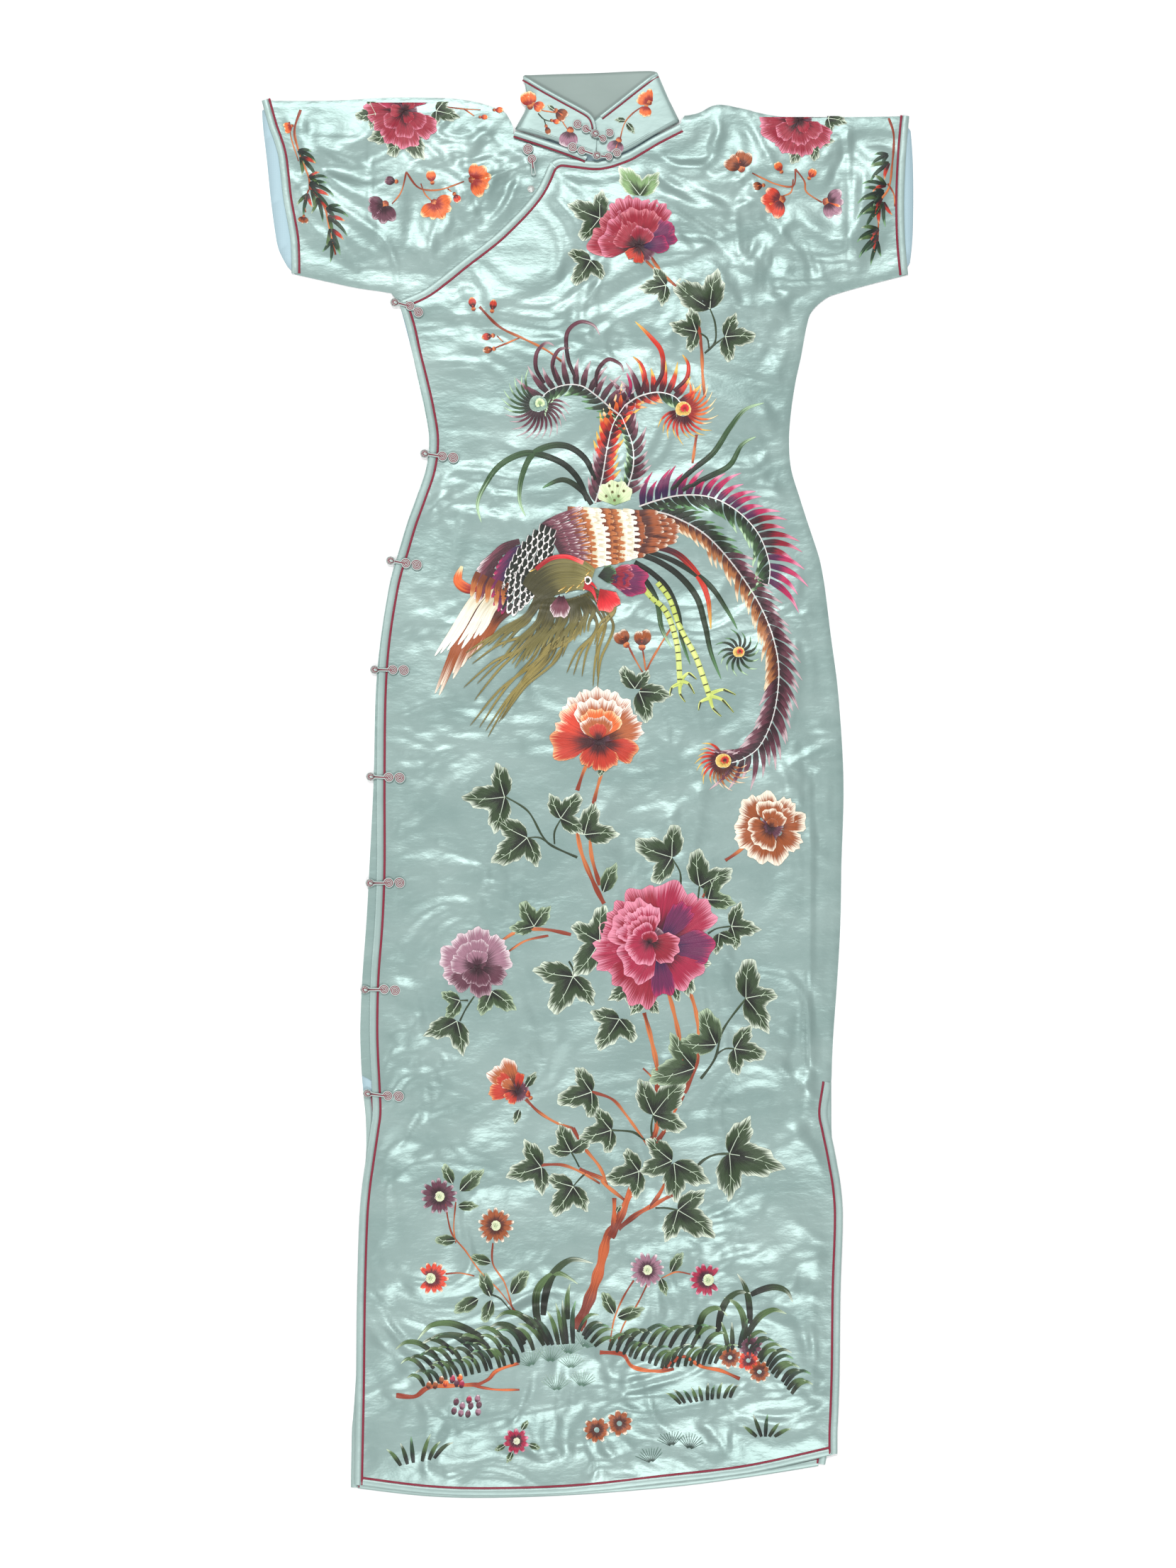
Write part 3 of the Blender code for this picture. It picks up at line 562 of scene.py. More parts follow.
def plain_weave(name, colour, roughness=0.75, pitch=1.1):
    """Cotton or silk in a plain weave: matt, with a faint grid of threads."""
    settings = {"Base Color": linear(colour), "Roughness": roughness, "Specular IOR Level": 0.3}
    made, tree, shader = new_finish(name, settings)
    place = add_node(tree, "TexCoord").outputs["Object"]
    count = 1 / (pitch * MM) / (2 * math.pi)
    warp, weft = (
        add_node(tree, "TexWave", {"Scale": count, "bands_direction": way}, {"Vector": place})
        for way in "XY"
    )
    threads = {0: warp.outputs["Fac"], 1: weft.outputs["Fac"]}
    both = add_node(tree, "Math", {"operation": "MULTIPLY"}, threads)
    tree.links.new(bumps(tree, both.outputs[0], 0.3, 0.0002), shader.inputs["Normal"])
    return made


def floss():
    """Untwisted silk floss in long and short satin stitch: bright along the thread.

    Each stitch blends three silks, with a ragged join, and the threads show as fine ridges.
    """
    settings = {"Roughness": 0.42, "Metallic": 0.12, "Specular IOR Level": 0.45, "Sheen Weight": 0.1}
    made, tree, shader = new_finish("silk_floss", settings)
    thread = add_node(tree, "Attribute", {"attribute_name": "thread"}).outputs["Vector"]
    colour, middle, tip = (
        add_node(tree, "Attribute", {"attribute_name": name}).outputs["Color"] for name in DYES
    )
    along = add_node(tree, "SeparateXYZ", None, {0: thread}).outputs[1]
    # Stitches start and stop unevenly, in strands about 0.9 mm wide.
    ragged = noise_at(tree, thread, (1.1, 1.2, 3.7), 2.0, 0.6)
    ends = {"operation": "MULTIPLY_ADD", 1: 0.55, 2: -0.275}
    shift = add_node(tree, "Math", ends, {0: ragged}).outputs[0]
    place = add_node(tree, "Math", {"operation": "ADD"}, {0: along, 1: shift}).outputs[0]
    for dye, low, high in ((middle, 0.24, 0.58), (tip, 0.74, 0.97)):
        ease = {"interpolation_type": "SMOOTHSTEP", 1: low, 2: high}
        share = add_node(tree, "MapRange", ease, {0: place}).outputs[0]
        mixed = {0: share, 6: colour, 7: dye}
        colour = add_node(tree, "Mix", {"data_type": "RGBA"}, mixed).outputs[2]
    # Strand by strand, the dye is a little lighter or darker.
    grain = noise_at(tree, thread, (2.4, 0.25, 1.9), 1.0)
    value = add_node(tree, "MapRange", {1: 0.3, 2: 0.7, 3: 0.72, 4: 1.26}, {0: grain}).outputs[0]
    toned = add_node(tree, "HueSaturation", None, {"Value": value, "Color": colour})
    tree.links.new(toned.outputs[0], shader.inputs["Base Color"])
    tree.links.new(bumps(tree, grain, 0.5, 0.0003), shader.inputs["Normal"])
    return made


def steel():
    """Nickelled steel, a little scuffed."""
    settings = {"Base Color": linear("#d9dcd8"), "Metallic": 0.7, "Roughness": 0.4}
    return new_finish("nickelled_steel", settings)[0]


FINISHES = {}


def finish_named(name):
    """Makes each material once."""
    if name not in FINISHES:
        look = bpy.context.scene.cheongsam_cloth
        trim = bpy.context.scene.cheongsam_trim
        FINISHES[name] = {
            # Each satin's pale and deep colours are the light and dark ends of its painted sheen and shade.
            "satin": lambda: satin("silk_satin", "#93a9a5", "#829a96", 0.37, 0.38),
            "collar": lambda: satin("stiffened_satin", "#94aaa6", "#889e9a", 0.4, 0.35, 0.3),
            "collar_inside": lambda: satin("collar_facing_silk", "#8b9b96", "#83938e", 0.6, 0.0, 0.3),
            "lining": lambda: plain_weave("cotton_lining", look.lining_code),
            "binding": lambda: satin("bias_binding_silk", "#9db2ae", "#90a6a2", 0.42, 0.35, 0.5),
            "piping": lambda: plain_weave("piping_silk", trim.piping_code, 0.5, 0.9),
            "cord": lambda: satin("rolled_cord_silk", "#b3c0bc", "#a3b2ae", 0.5, 0.15, 0.5),
            "thread": lambda: plain_weave("sewing_thread", "#7d8f8b", 0.6, 0.9),
            "steel": steel,
            "floss": floss,
        }[name]()
    return FINISHES[name]


# ---- silk embroidery ----
# Three dyed silks for each shade: at the root of a stitch, along it, and at its tip.
SILKS = {
    "rose": "#3a051e #9c173c #dc8fa5", "peony": "#280210 #8c0f2a #d8849a",
    "ember": "#3a0b12 #b5301d #e9b27c", "crimson": "#30050f #8f122a #d5808c",
    "violet": "#2a0c3c #621848 #b82a5e", "flame": "#58101c #cc3d26 #f0cfae",
    "russet": "#4c1c10 #a8572c #efe6da", "mauve": "#431f2e #94697a #dccbd0",
    "plum": "#2f121d #5b2f3f #b59aa3", "amber": "#8c1d17 #d9652d #efdcab",
    "leaf": "#0e150a #2d4024 #cdd8c6", "pale_leaf": "#2a3a20 #7c9c68 #dfe8d6",
    "broad": "#0e150b #35492b #a9bd9f", "grass": "#16220f #4b6539 #c3d6b8",
    "reed": "#0d1a14 #27402c #7fae7c", "vein": "#c3d2bc #b9cbb0 #93ab84",
    "petiole": "#22301a #2b3b22 #33452a", "bark": "#6e2410 #b8582c #7a2b12",
    "twig": "#83321a #c4713f #75290f", "soil": "#8c3218 #c5622f #7c2a17",
    "nut": "#47180b #93491f #efe3cf", "seed": "#8fae76 #cddcae #dbe7bf",
    "gold": "#8c6a24 #d9b25c #f0dca0", "fan": "#4f6f60 #7f9c8d #a6bcb0",
    "dark_fan": "#223a32 #35564a #5f7f70", "olive": "#3d3a1c #6b6435 #8d8450",
    "hackle": "#4b451f #8a7c42 #6d6230", "scale": "#0e150f #162015 #1f2c1c",
    "flank": "#3a1320 #6d3644 #e8dadb", "tan": "#6d3214 #b06430 #e2b98a",
    "cream": "#cfc4a6 #eee9d8 #f7f4ea", "comb": "#a0141c #d4242c #ee7a70",
    "beak": "#b3202a #e0404a #f0818a", "shank": "#b9c763 #d3de85 #c6d374",
    "claw": "#3a3b1c #2a2a16 #3a3b1c", "shaft": "#c9c3c0 #e6e2df #efecea",
    "plume_rose": "#470c3e #b01f52 #e48fab", "plume_red": "#420d1b #c5301e #e6bd5c",
    "plume_plum": "#2c0e19 #5f2f3d #c3a9ae", "plume_tan": "#4a1d12 #a5683c #e9d3b2",
    "plume_green": "#101b11 #33502f #b7d7ae", "plume_dark": "#141a12 #20301c #5d8a5a",
}
STITCH_LIFT = 0.35  # the stitches stand this far off the satin, in millimetres


def turned(x, y, angle, reach):
    """The point at this reach from x, y, towards an angle in degrees."""
    way = math.radians(angle)
    return (x + reach * math.cos(way), y + reach * math.sin(way))


def barb_width(share):
    return 1.25 * (1 - share) ** 0.8 * np.minimum(1, 0.55 + share * 1.8)


def tile_width(share):
    return np.sqrt(np.clip(1 - share**3, 0, 1))


class Stitches:
    """Patches of satin stitch on one layer of cloth, gathered in one mesh."""

    def __init__(self, height, seed=1):
        self.height = height
        self.bm = bmesh.new()
        layers = self.bm.verts.layers
        self.dyes = [layers.float_color.new(name) for name in DYES]
        self.thread = layers.float_vector.new("thread")
        self.draw = np.random.default_rng(seed)
        self.count = 0

    def vary(self, size):
        return float(self.draw.uniform(1 - size, 1 + size))

    def patch(self, across, along, place, silk, wide, lift=0.0, dome=0.3, inner=0.0, outer=1.0):
        """A patch whose threads run along it. place gives x and y for shares 0 to 1 each way."""

        def raised(u, v):
            x, y = place(u, v)
            crown = dome * np.sqrt(np.clip(4 * u * (1 - u), 0, 1)) * np.clip(6 * (1 - v), 0, 1)
            return x, y, STITCH_LIFT + lift + crown

        made, flat = add_grid(self.bm, across, along, raised)
        dyes = [linear(code) for code in SILKS[silk].split()]
        self.count += 1
        for vert, (u, v) in zip(made, flat):
            for layer, dye in zip(self.dyes, dyes):
                vert[layer] = dye
            vert[self.thread] = (u * wide, inner + (outer - inner) * v, self.count)

    def petal(self, x, y, angle, reach, spread, silk, lift=0.0, inner=0.0, ruffle=0.05, lobes=3, outer=0.9):
        """A fan of stitches from a point, with a ruffled far edge."""
        phase = self.draw.uniform(0, 6.28)
        half = math.radians(spread)
        start = inner * 0.9

        def place(u, v):
            t = 2 * u - 1
            edge = 1 - 0.34 * np.abs(t) ** 3.5 + ruffle * np.cos(lobes * math.pi * t + phase)
            r = reach * edge * (start + (1 - start) * v)
            way = math.radians(angle) + half * t
            return x + r * np.cos(way), y + r * np.sin(way)

        across = max(6, int(reach * half / 1.6))
        self.patch(across, 6, place, silk, 2 * reach * half, lift, 0.35, inner, outer)

    def blade(self, points, wide, silk, shape=None, lift=0.0, chord=2.4, dome=0.25, across=2, outer=1.0):
        """A ribbon of stitches along a curve; shape gives its width along it as a share."""
        path = spline(points, chord) if len(points) < 12 else np.asarray(points, float)
        side = sideways(path)
        share = length_along(path) / max(length_along(path)[-1], 1e-6)
        widths = wide * (shape(share) if shape else np.ones_like(share))

        def place(u, v):
            i = np.rint(v * (len(path) - 1)).astype(int)
            spots = path[i] + side[i] * ((u - 0.5) * widths[i])[:, None]
            return spots[:, 0], spots[:, 1]

        self.patch(across, len(path) - 1, place, silk, wide, lift, dome, 0.0, outer)

    def leaf(self, x, y, angle, reach, kind, silk="leaf"):
        """A leaf with pointed lobes, dark at the heart and pale at the rim, with laid veins."""
        lobes = {
            "three": [(-72, 0.80), (0, 1.0), (70, 0.78)],
            "two": [(-36, 0.95), (34, 1.0)],
            "one": [(0, 1.0)],
            "wing": [(-84, 0.9), (-24, 0.75), (62, 1.0)],
        }[kind]
        wide = 62 if len(lobes) > 1 else 52
        lobes = [(turn + self.draw.uniform(-7, 7), size * self.vary(0.08)) for turn, size in lobes]
        low = min(turn for turn, _ in lobes) - wide
        high = max(turn for turn, _ in lobes) + wide
        phase = self.draw.uniform(0, 6.28)

        def rim(turn):
            best = np.full_like(turn, 0.10)
            for at, size in lobes:
                near = np.clip(1 - np.abs(turn - at) / wide, 0, 1)
                best = np.maximum(best, size * (0.50 * near**0.4 + 0.50 * near**1.5))
            notch = 1 + 0.06 * np.cos(np.radians(turn) * 19 + phase)
            return 0.93 * reach * best * notch

        def place(u, v):
            turn = low + (high - low) * u
            way = np.radians(angle + turn)
            r = rim(turn) * v
            return x + r * np.cos(way), y + r * np.sin(way)

        self.patch(max(16, int((high - low) / 5)), 6, place, silk, reach * 2.4, 0.0, 0.3, 0.0, 0.94)
        for at, size in lobes:
            tip = turned(x, y, angle + at, reach * size * 0.84)
            bend = turned(x, y, angle + at + 4, reach * size * 0.45)
            self.blade([(x, y), bend, tip], 0.7, "vein", lambda s: 1 - 0.5 * s, 0.42, dome=0.1)
            for share, side in ((0.42, 38), (0.60, -36)):
                root = turned(x, y, angle + at, reach * size * share)
                end = turned(*root, angle + at + side, reach * size * 0.20)
                self.blade([root, end], 0.45, "vein", lift=0.42, dome=0.05, across=1)

    def stem(self, points, wide, silk="twig", lift=-0.05):
        line = spline(points, 2.6)
        wave = 1 + 0.16 * np.sin(np.arange(len(line)) * 0.7 + self.draw.uniform(0, 6))
        self.blade(line, wide, silk, lambda s: wave * (1 - 0.25 * s), lift, across=2)

    def flower(self, x, y, rows, lift=0.0):
        """Rows of overlapping petals over a dark disc, the far row first."""
        self.petal(x, y, 0, rows[0][3] * 0.36, 180, "plum", lift)
        for count, first, last, reach, spread, silk, inner, offset in rows:
            for i in range(count):
                share = (i + 0.5) / count
                angle = first + (last - first) * share + self.draw.uniform(-4, 4)
                x1, y1 = turned(x, y, angle, offset)
                lobes = self.draw.integers(2, 5)
                far, outer = reach * self.vary(0.07), 0.83 + 0.5 * inner
                self.petal(x1, y1, angle, far, spread, silk, lift, inner, 0.05, lobes, outer)
                lift += 0.04
            lift += 0.09

    def beads(self, points, size, silk, lift):
        for x, y in points:
            self.petal(x, y, 0, size, 180, silk, lift, 0.0, 0.0)

    def daisy(self, x, y, reach, silk, count, first=0, last=360, heart=0.3):
        """A daisy: narrow pointed petals round a heart of pale knots."""
        for i in range(count):
            angle = first + (last - first) * (i + 0.5) / count + self.draw.uniform(-3, 3)
            tip = turned(x, y, angle, reach * self.vary(0.06))
            wide = 2 * math.pi * reach * (last - first) / 360 / count * 0.70
            path = [turned(x, y, angle, reach * 0.2), turned(x, y, angle, reach * 0.7), tip]
            self.blade(path, wide, silk, lambda s: np.sin(0.35 + 2.5 * s) ** 0.8, 0.05 * (i % 2))
        if heart == 0:
            return
        # A daisy seen from its side has its heart behind its petals.
        shift = reach * 0.12 if last - first < 360 else 0
        x, y = turned(x, y, (first + last) / 2 + 180, shift)
        self.petal(x, y, 0, reach * heart, 180, "seed", 0.35, 0.0, 0.0)
        reaches = [reach * heart * 0.86 * math.sqrt((k + 0.5) / 26) for k in range(26)]
        knots = [turned(x, y, k * 137.5, far) for k, far in enumerate(reaches)]
        self.beads(knots, 0.62, "cream", 0.75)

    def bud(self, x, y, angle, reach, silk, spread=24):
        path = [turned(x, y, angle, reach * share) for share in (0, 0.55, 1)]
        wide = reach * spread / 26
        self.blade(path, wide, silk, lambda s: np.sin(0.25 + 2.75 * s) ** 0.7, 0.1, 1.4, across=4)

    def blossom(self, x, y, angle, reach, silk, count, arc):
        """A small open blossom with a calyx, seen from the side."""
        for i in range(count):
            way = angle + ((i + 0.5) / count - 0.5) * arc
            self.bud(*turned(x, y, way, 0.8), way, reach * self.vary(0.12), silk, 20)
        self.bud(x, y, angle, reach * 0.8, "amber" if silk != "plum" else "mauve", 16)
        self.bud(*turned(x, y, angle + 180, reach * 0.35), angle, reach * 0.5, "twig", 26)

    def barb(self, x, y, angle, reach, curl, wide, silk, lift=0.0):
        """A curved barb of a feather that narrows to a point."""
        points = [(x, y)]
        for step in range(3):
            points.append(turned(*points[-1], angle + curl * (step + 0.3) / 2, reach / 3))
        self.blade(points, wide, silk, barb_width, lift, outer=1.28)

    def plume(self, points, space, left, right, shaft=1.5):
        """A long feather with barbs on both sides of its shaft."""
        line = spline(points, 1.0)
        along = length_along(line)
        heading = np.degrees(np.arctan2(*np.gradient(line, axis=0).T[::-1]))
        count = round(along[-1] / space)
        for (near, far, lean, curl, wide, silks), sign in ((left, 1), (right, -1)):
            for i in range(count):
                share = (i + 0.4) / count
                k = int(np.searchsorted(along, share * along[-1]))
                reach = (near + (far - near) * share) * self.vary(0.14) * (0.8 if i % 3 == 1 else 1)
                angle = heading[k] + sign * (lean + self.draw.uniform(-4, 4))
                silk = silks[i * len(silks) // count]
                self.barb(*line[k], angle, reach, -sign * curl, wide, silk, 0.02 * (i % 4))
        self.blade(line[::2], shaft, "shaft", lambda s: 1 - 0.5 * s, 0.35)

    def eye(self, x, y, radius, heart, ring, rays, first, last, count, reach, curl):
        """The eye of a tail feather: a ringed heart with barbs round it."""
        for i in range(count):
            angle = first + (last - first) * i / max(1, count - 1)
            root = turned(x, y, angle, radius * 0.8)
            silk = rays[i * len(rays) // count]
            self.barb(*root, angle, reach * self.vary(0.15), curl, 3.0, silk, 0.02 * (i % 3))
        self.petal(x, y, 90, radius, 180, ring, 0.4, 0.0, 0.02)
        self.petal(x + radius * 0.2, y + radius * 0.15, 90, radius * 0.6, 180, heart, 0.6, 0.0, 0.06)

    def grass(self, x, y, angle, reach, wide, bend, silk="grass"):
        """A blade of grass that bends over more and more towards its tip."""
        points = [(x, y)]
        for share in (0, 0.15, 0.5, 1.0):
            points.append(turned(*points[-1], angle + bend * share, reach / 4))
        self.blade(points, wide, silk, lambda s: np.sin(0.7 + 2.4 * s) ** 0.8, 0.05)

    def fan(self, x, y, angle, reach, silk, count=11, arc=110):
        """A pine-like fan of single threads."""
        for i in range(count):
            way = angle - arc / 2 + arc * i / (count - 1)
            end = turned(x, y, way, reach * self.vary(0.08))
            self.blade([turned(x, y, way, reach * 0.12), end], 0.6, silk, None, 0.0, 4.0, 0.05, 1)

    def piece(self, name, limits=()):
        """Lays the stitches on the cloth as one piece, folded off flat at each limit in y."""
        spots = np.array([vert.co[:] for vert in self.bm.verts])
        for low, high, top in limits:
            span = (spots[:, 0] > low) & (spots[:, 0] < high)
            spots[span, 1] = np.minimum(spots[span, 1], top)
        spots[:, 2] += self.height(spots[:, 0], spots[:, 1])
        for vert, spot in zip(self.bm.verts, spots):
            vert.co = spot
        flat = [face for face in self.bm.faces if face.calc_area() < 1e-4]
        bmesh.ops.delete(self.bm, geom=flat, context="FACES")
        loose = [vert for vert in self.bm.verts if not vert.link_faces]
        bmesh.ops.delete(self.bm, geom=loose, context="VERTS")
        down = [face for face in self.bm.faces if face.normal.z < 0]
        bmesh.ops.reverse_faces(self.bm, faces=down)
        return finish_piece(self.bm, name, ["floss"])


# ---- settings ----


class ClothSettings(bpy.types.PropertyGroup):
    grid: bpy.props.FloatProperty(
        name="Cloth grid", description="Side of the faces in the front", default=2.8, min=2.6, max=8.0
    )
    lining_code: bpy.props.StringProperty(
        name="Lining colour", description="sRGB hex colour of the lining", default="#a8c2cb"
    )


class TrimSettings(bpy.types.PropertyGroup):
    binding_wide: bpy.props.FloatProperty(
        name="Binding width", description="Width of the bound edge in millimetres", default=6.4, min=3.0
    )
    piping_wide: bpy.props.FloatProperty(
        name="Piping width", description="Width of the red piping in millimetres", default=2.3, min=1.0
    )
    piping_code: bpy.props.StringProperty(
        name="Piping colour", description="sRGB hex colour of the piping", default="#84273a"
    )


class StageSettings(bpy.types.PropertyGroup):
    height: bpy.props.FloatProperty(
        name="Camera height", description="Height of the camera above the table", default=4.0, unit="LENGTH"
    )
    table_code: bpy.props.StringProperty(
        name="Table colour", description="sRGB hex colour of the table", default="#fbfbfb"
    )


# ---- pieces ----


def thicken(piece, thickness, offset, rim):
    """Gives a piece its thickness, with its second finish on the far side."""
    wall = piece.modifiers.new("wall", "SOLIDIFY")
    wall.thickness, wall.offset = thickness * MM, offset
    wall.material_offset, wall.material_offset_rim = 1, rim


def edge_nodes(kind, on_collar):
    """The solids of one kind of edge, on the collar or off it."""
    return [name for name in NODES if name.endswith(kind) and name.startswith("collar") == on_collar]


class CHEONGSAM_OT_body(bpy.types.Operator):
    """Lays the front, the shoulder panel, the side extension and the back"""

    bl_idname = "cheongsam.body"
    bl_label = "Body panels"

    def execute(self, context):
        grid = context.scene.cheongsam_cloth.grid
        for name, layer, spacing, finishes, solid, below in (
            ("front", FRONT_LAYER, grid, ["satin"], "front_panel", "back_panel"),
            ("right_shoulder", SHOULDER_LAYER, grid, ["satin"], "right_shoulder_panel", "back_panel"),
            ("extension", EXTENSION_LAYER, 5.0, ["satin"], "side_extension", "back_panel"),
            ("back", BACK_LAYER, 7.0, ["lining", "satin"], "back_panel", "side_extension"),
        ):
            piece = finish_piece(cloth_mesh(layer, spacing), name, finishes, [solid])
            if layer is BACK_LAYER:
                thicken(piece, 1.1, -1, 1)
        return {"FINISHED"}


BOUND = [(0, -1.2), (0, 0.15), (0.06, 0.45), (0.3, 0.75), (0.62, 0.7), (0.92, 0.45), (1, 0.0)]
CORD = [(0, -0.1), (0.1, 0.5), (0.32, 0.95), (0.5, 1.1), (0.68, 0.95), (0.9, 0.5), (1, -0.1)]


class CHEONGSAM_OT_edges(bpy.types.Operator):
    """Binds and pipes the opening, hem, slits, neck and cuffs"""

    bl_idname = "cheongsam.edges"
    bl_label = "Bound edges"

    def execute(self, context):
        trim = context.scene.cheongsam_trim
        wide, cord = trim.binding_wide, trim.piping_wide
        gap = 0.1
        bound, piped = bmesh.new(), bmesh.new()
        bands = [
            (DIAGONAL, FRONT_LAYER, 0, 4),
            (SIDE_OPENING, FRONT_LAYER, 3, 0),
            (HEM, FRONT_LAYER, wide, wide),
            (SLIT, FRONT_LAYER, 0, 0),
            (NECKLINE, FRONT_LAYER, 2, 3),
            (CUFF_LEFT, FRONT_LAYER, 0, 0),
            (CUFF_RIGHT, SHOULDER_LAYER, 0, 0),
            (BACK_HEM, BACK_LAYER, wide, wide),
            (run_between(BACK, SLIT_TOP_RIGHT, BACK_HEM_RIGHT), BACK_LAYER, 0, 0),
            (run_between(BACK, BACK_HEM_LEFT, SLIT_TOP_LEFT), BACK_LAYER, 0, 0),
        ]
        for line, layer, start, end in bands:
            line = part_of(line, start, end)
            # The back's binding wraps round its edge, which shows below the front.
            near = -0.3 if layer is BACK_LAYER else 0
            add_band(bound, line, near, wide, BOUND, layer.height)
            add_band(piped, line, wide + gap, wide + gap + cord, CORD, layer.height)
        finish_piece(bound, "bindings", ["binding"], edge_nodes("_binding", False))
        finish_piece(piped, "pipings", ["piping"], edge_nodes("_piping", False))
        return {"FINISHED"}


# The stations along the collar band, the same as in its solid: x and y at its foot, x and y at its
# top, and z.
COLLAR = [
    (9, 614, 9, 628, 5.85), (7, 611, 8, 642, 5.85), (1, 613, 3, 651, 5.85), (-9, 617, -8, 658, 5.85),
    (-22, 622, -21, 665, 5.85), (-42, 629, -41, 676, 5.85), (-63, 635, -57, 686, 5.85),
    (-68, 636, -61, 688, 5), (-70, 637, -62.5, 689, 2.9), (-68, 637, -61, 690, 1.2),
    (-63, 636, -56, 690, 0.7), (-35, 633, -28, 691, 0.7), (8, 633, 8, 692, 0.7),
    (50, 635, 40, 693.5, 0.7), (82, 641, 61, 694, 0.7), (87.5, 644, 66.5, 693, 1.2),
    (89, 645, 68, 692, 2.1), (87.5, 644, 66.5, 691, 3.6), (82, 641, 61, 688, 4.25),
    (64, 631, 49, 679, 4.25), (38, 616, 30, 664, 4.25), (14, 609, 9, 648, 4.25), (2, 612, 0, 637, 4.25),
    (-6, 616, -7, 628, 4.25),
]
COLLAR_STEPS = 159  # faces along the collar band


class CHEONGSAM_OT_collar(bpy.types.Operator):
    """Folds the stiffened collar flat and gives it its thickness"""

    bl_idname = "cheongsam.collar"
    bl_label = "Collar"

    def execute(self, context):
        table = np.array(COLLAR, float)
        edges = []
        for columns in ([0, 1, 4], [2, 3, 4]):
            line = spline(table[:, columns], chord=2.5)
            share = np.linspace(0, len(line) - 1, COLLAR_STEPS + 1)
            edges.append(np.stack([np.interp(share, range(len(line)), line[:, k]) for k in range(3)], 1))
        foot, top = edges

        def place(across, along):
            i = np.rint(along * COLLAR_STEPS).astype(int)
            return (foot[i] * (1 - across)[:, None] + top[i] * across[:, None]).T

        bm = bmesh.new()
        add_grid(bm, 14, COLLAR_STEPS, place)
        band = finish_piece(bm, "collar_band", ["collar", "collar_inside"], ["collar"])
        thicken(band, COLLAR_THICK, 0, 0)
        return {"FINISHED"}


# ---- where the motifs lie ----
# Each leaf: its foot's x and y, angle, reach and kind, and its silk where that isn't the usual one.
LEAVES = [
    # sepals under the peonies
    (-14, 31, 206, 15, "one"), (4, 35, 200, 17, "one"), (18, 33, -24, 17, "one"),
    (16, 20, 250, 15, "one"), (84, -196, -68, 18, "one"), (-97, -160, 112, 18, "one", "broad"),
    (-92, -164, -16, 20, "one", "broad"), (-66, -316, 250, 16, "one"), (-60, -294, 60, 18, "one"),
    # leaves round the low flower on the bare ground
    (-80, -642, 205, 13, "one", "broad"), (-64, -627, 62, 13, "one", "broad"),
    (-57, -641, -28, 13, "one", "broad"), (-73, -649, 250, 13, "one", "broad"),
    (-80.6, -12.4, 178, 48, "three"), (-26, -33, 48, 37, "three"), (-3, -49, 36, 38, "two"),
    (46, 93, 82, 27, "two"), (50, 90, -42, 36, "two"), (-58.7, -52, 216, 45, "three"),
    (15, -105, 72, 31, "one", "broad"), (82, -71, 158, 44, "three"), (109, -99, 62, 41, "two"),
    (117, -112, 30, 30, "two", "broad"), (140, -138, -8, 33, "three"), (128, -145, -60, 25, "two"),
    (-52, -138, 122, 32, "three", "broad"), (12, -153, 168, 47, "wing"),
    (-14, -187, 234, 50, "three"), (-127, -230, 240, 37, "two"),
    (-124, -210, 196, 25, "two", "broad"), (-93, -201, -76, 30, "two", "broad"),
    (31, -228, 238, 39, "three"), (42, -196, 246, 30, "two"), (56, -205, -88, 26, "two"),
    (88, -178, -24, 34, "two"), (154, -208, 24, 45, "wing"), (125, -253, 140, 42, "two", "broad"),
    (143, -257, -14, 38, "three"), (104, -276, 160, 48, "two", "broad"), (64, -321, 44, 49, "three"),
    (4, -299, 192, 37, "three"), (23, -336, 196, 35, "three"), (-16, -357, 108, 34, "three"),
    (-45, -372, 196, 40, "three"), (50, -376, 192, 38, "three"), (82, -366, 172, 36, "two"),
    (84, -368, -58, 46, "two"), (138, -359, -14, 60, "three"), (-14, -391, 236, 40, "three"),
    (88, -414, -32, 46, "three"), (28, -416, 60, 10, "one"), (-131, -388, 112, 24, "one", "broad"),
    (-124, -395, 45, 35, "one", "broad"), (-126, -410, 8, 21, "one", "broad"),
    (-128, -443, 176, 25, "one", "broad"), (-94, -465, 164, 25, "one", "broad"),
    (-94, -498, 104, 30, "one", "broad"), (-74, -495, 62, 33, "one", "broad"),
    (-106, -500, 204, 29, "one", "broad"), (-93, -501, 244, 25, "one", "broad"),
    (81, -474, 62, 25, "one", "broad"), (71, -480, -72, 19, "one", "broad"),
    (26, -515, 114, 28, "one", "broad"), (29, -518, 22, 28, "one", "broad"),
    # about the breast
    (51, 572, 90, 36, "two", "pale_leaf"), (12, 550, 156, 40, "three"), (3, 509, 236, 33, "three"),
    (119, 462, 110, 46, "two"), (76, 485, 192, 28, "three"), (106, 440, 172, 32, "three"),
    (134, 435, -2, 36, "three"),
    # on the wearer's left sleeve
    (234, 648, -8, 22, "three"), (206, 627, 228, 27, "two"), (216, 628, -40, 28, "two"),
]
SHOULDER_LEAVES = [
    (-206, 652, 184, 24, "three"), (-147, 655, -22, 24, "three"), (-186, 634, 228, 30, "two"),
    (-176, 634, -62, 36, "three"),
]
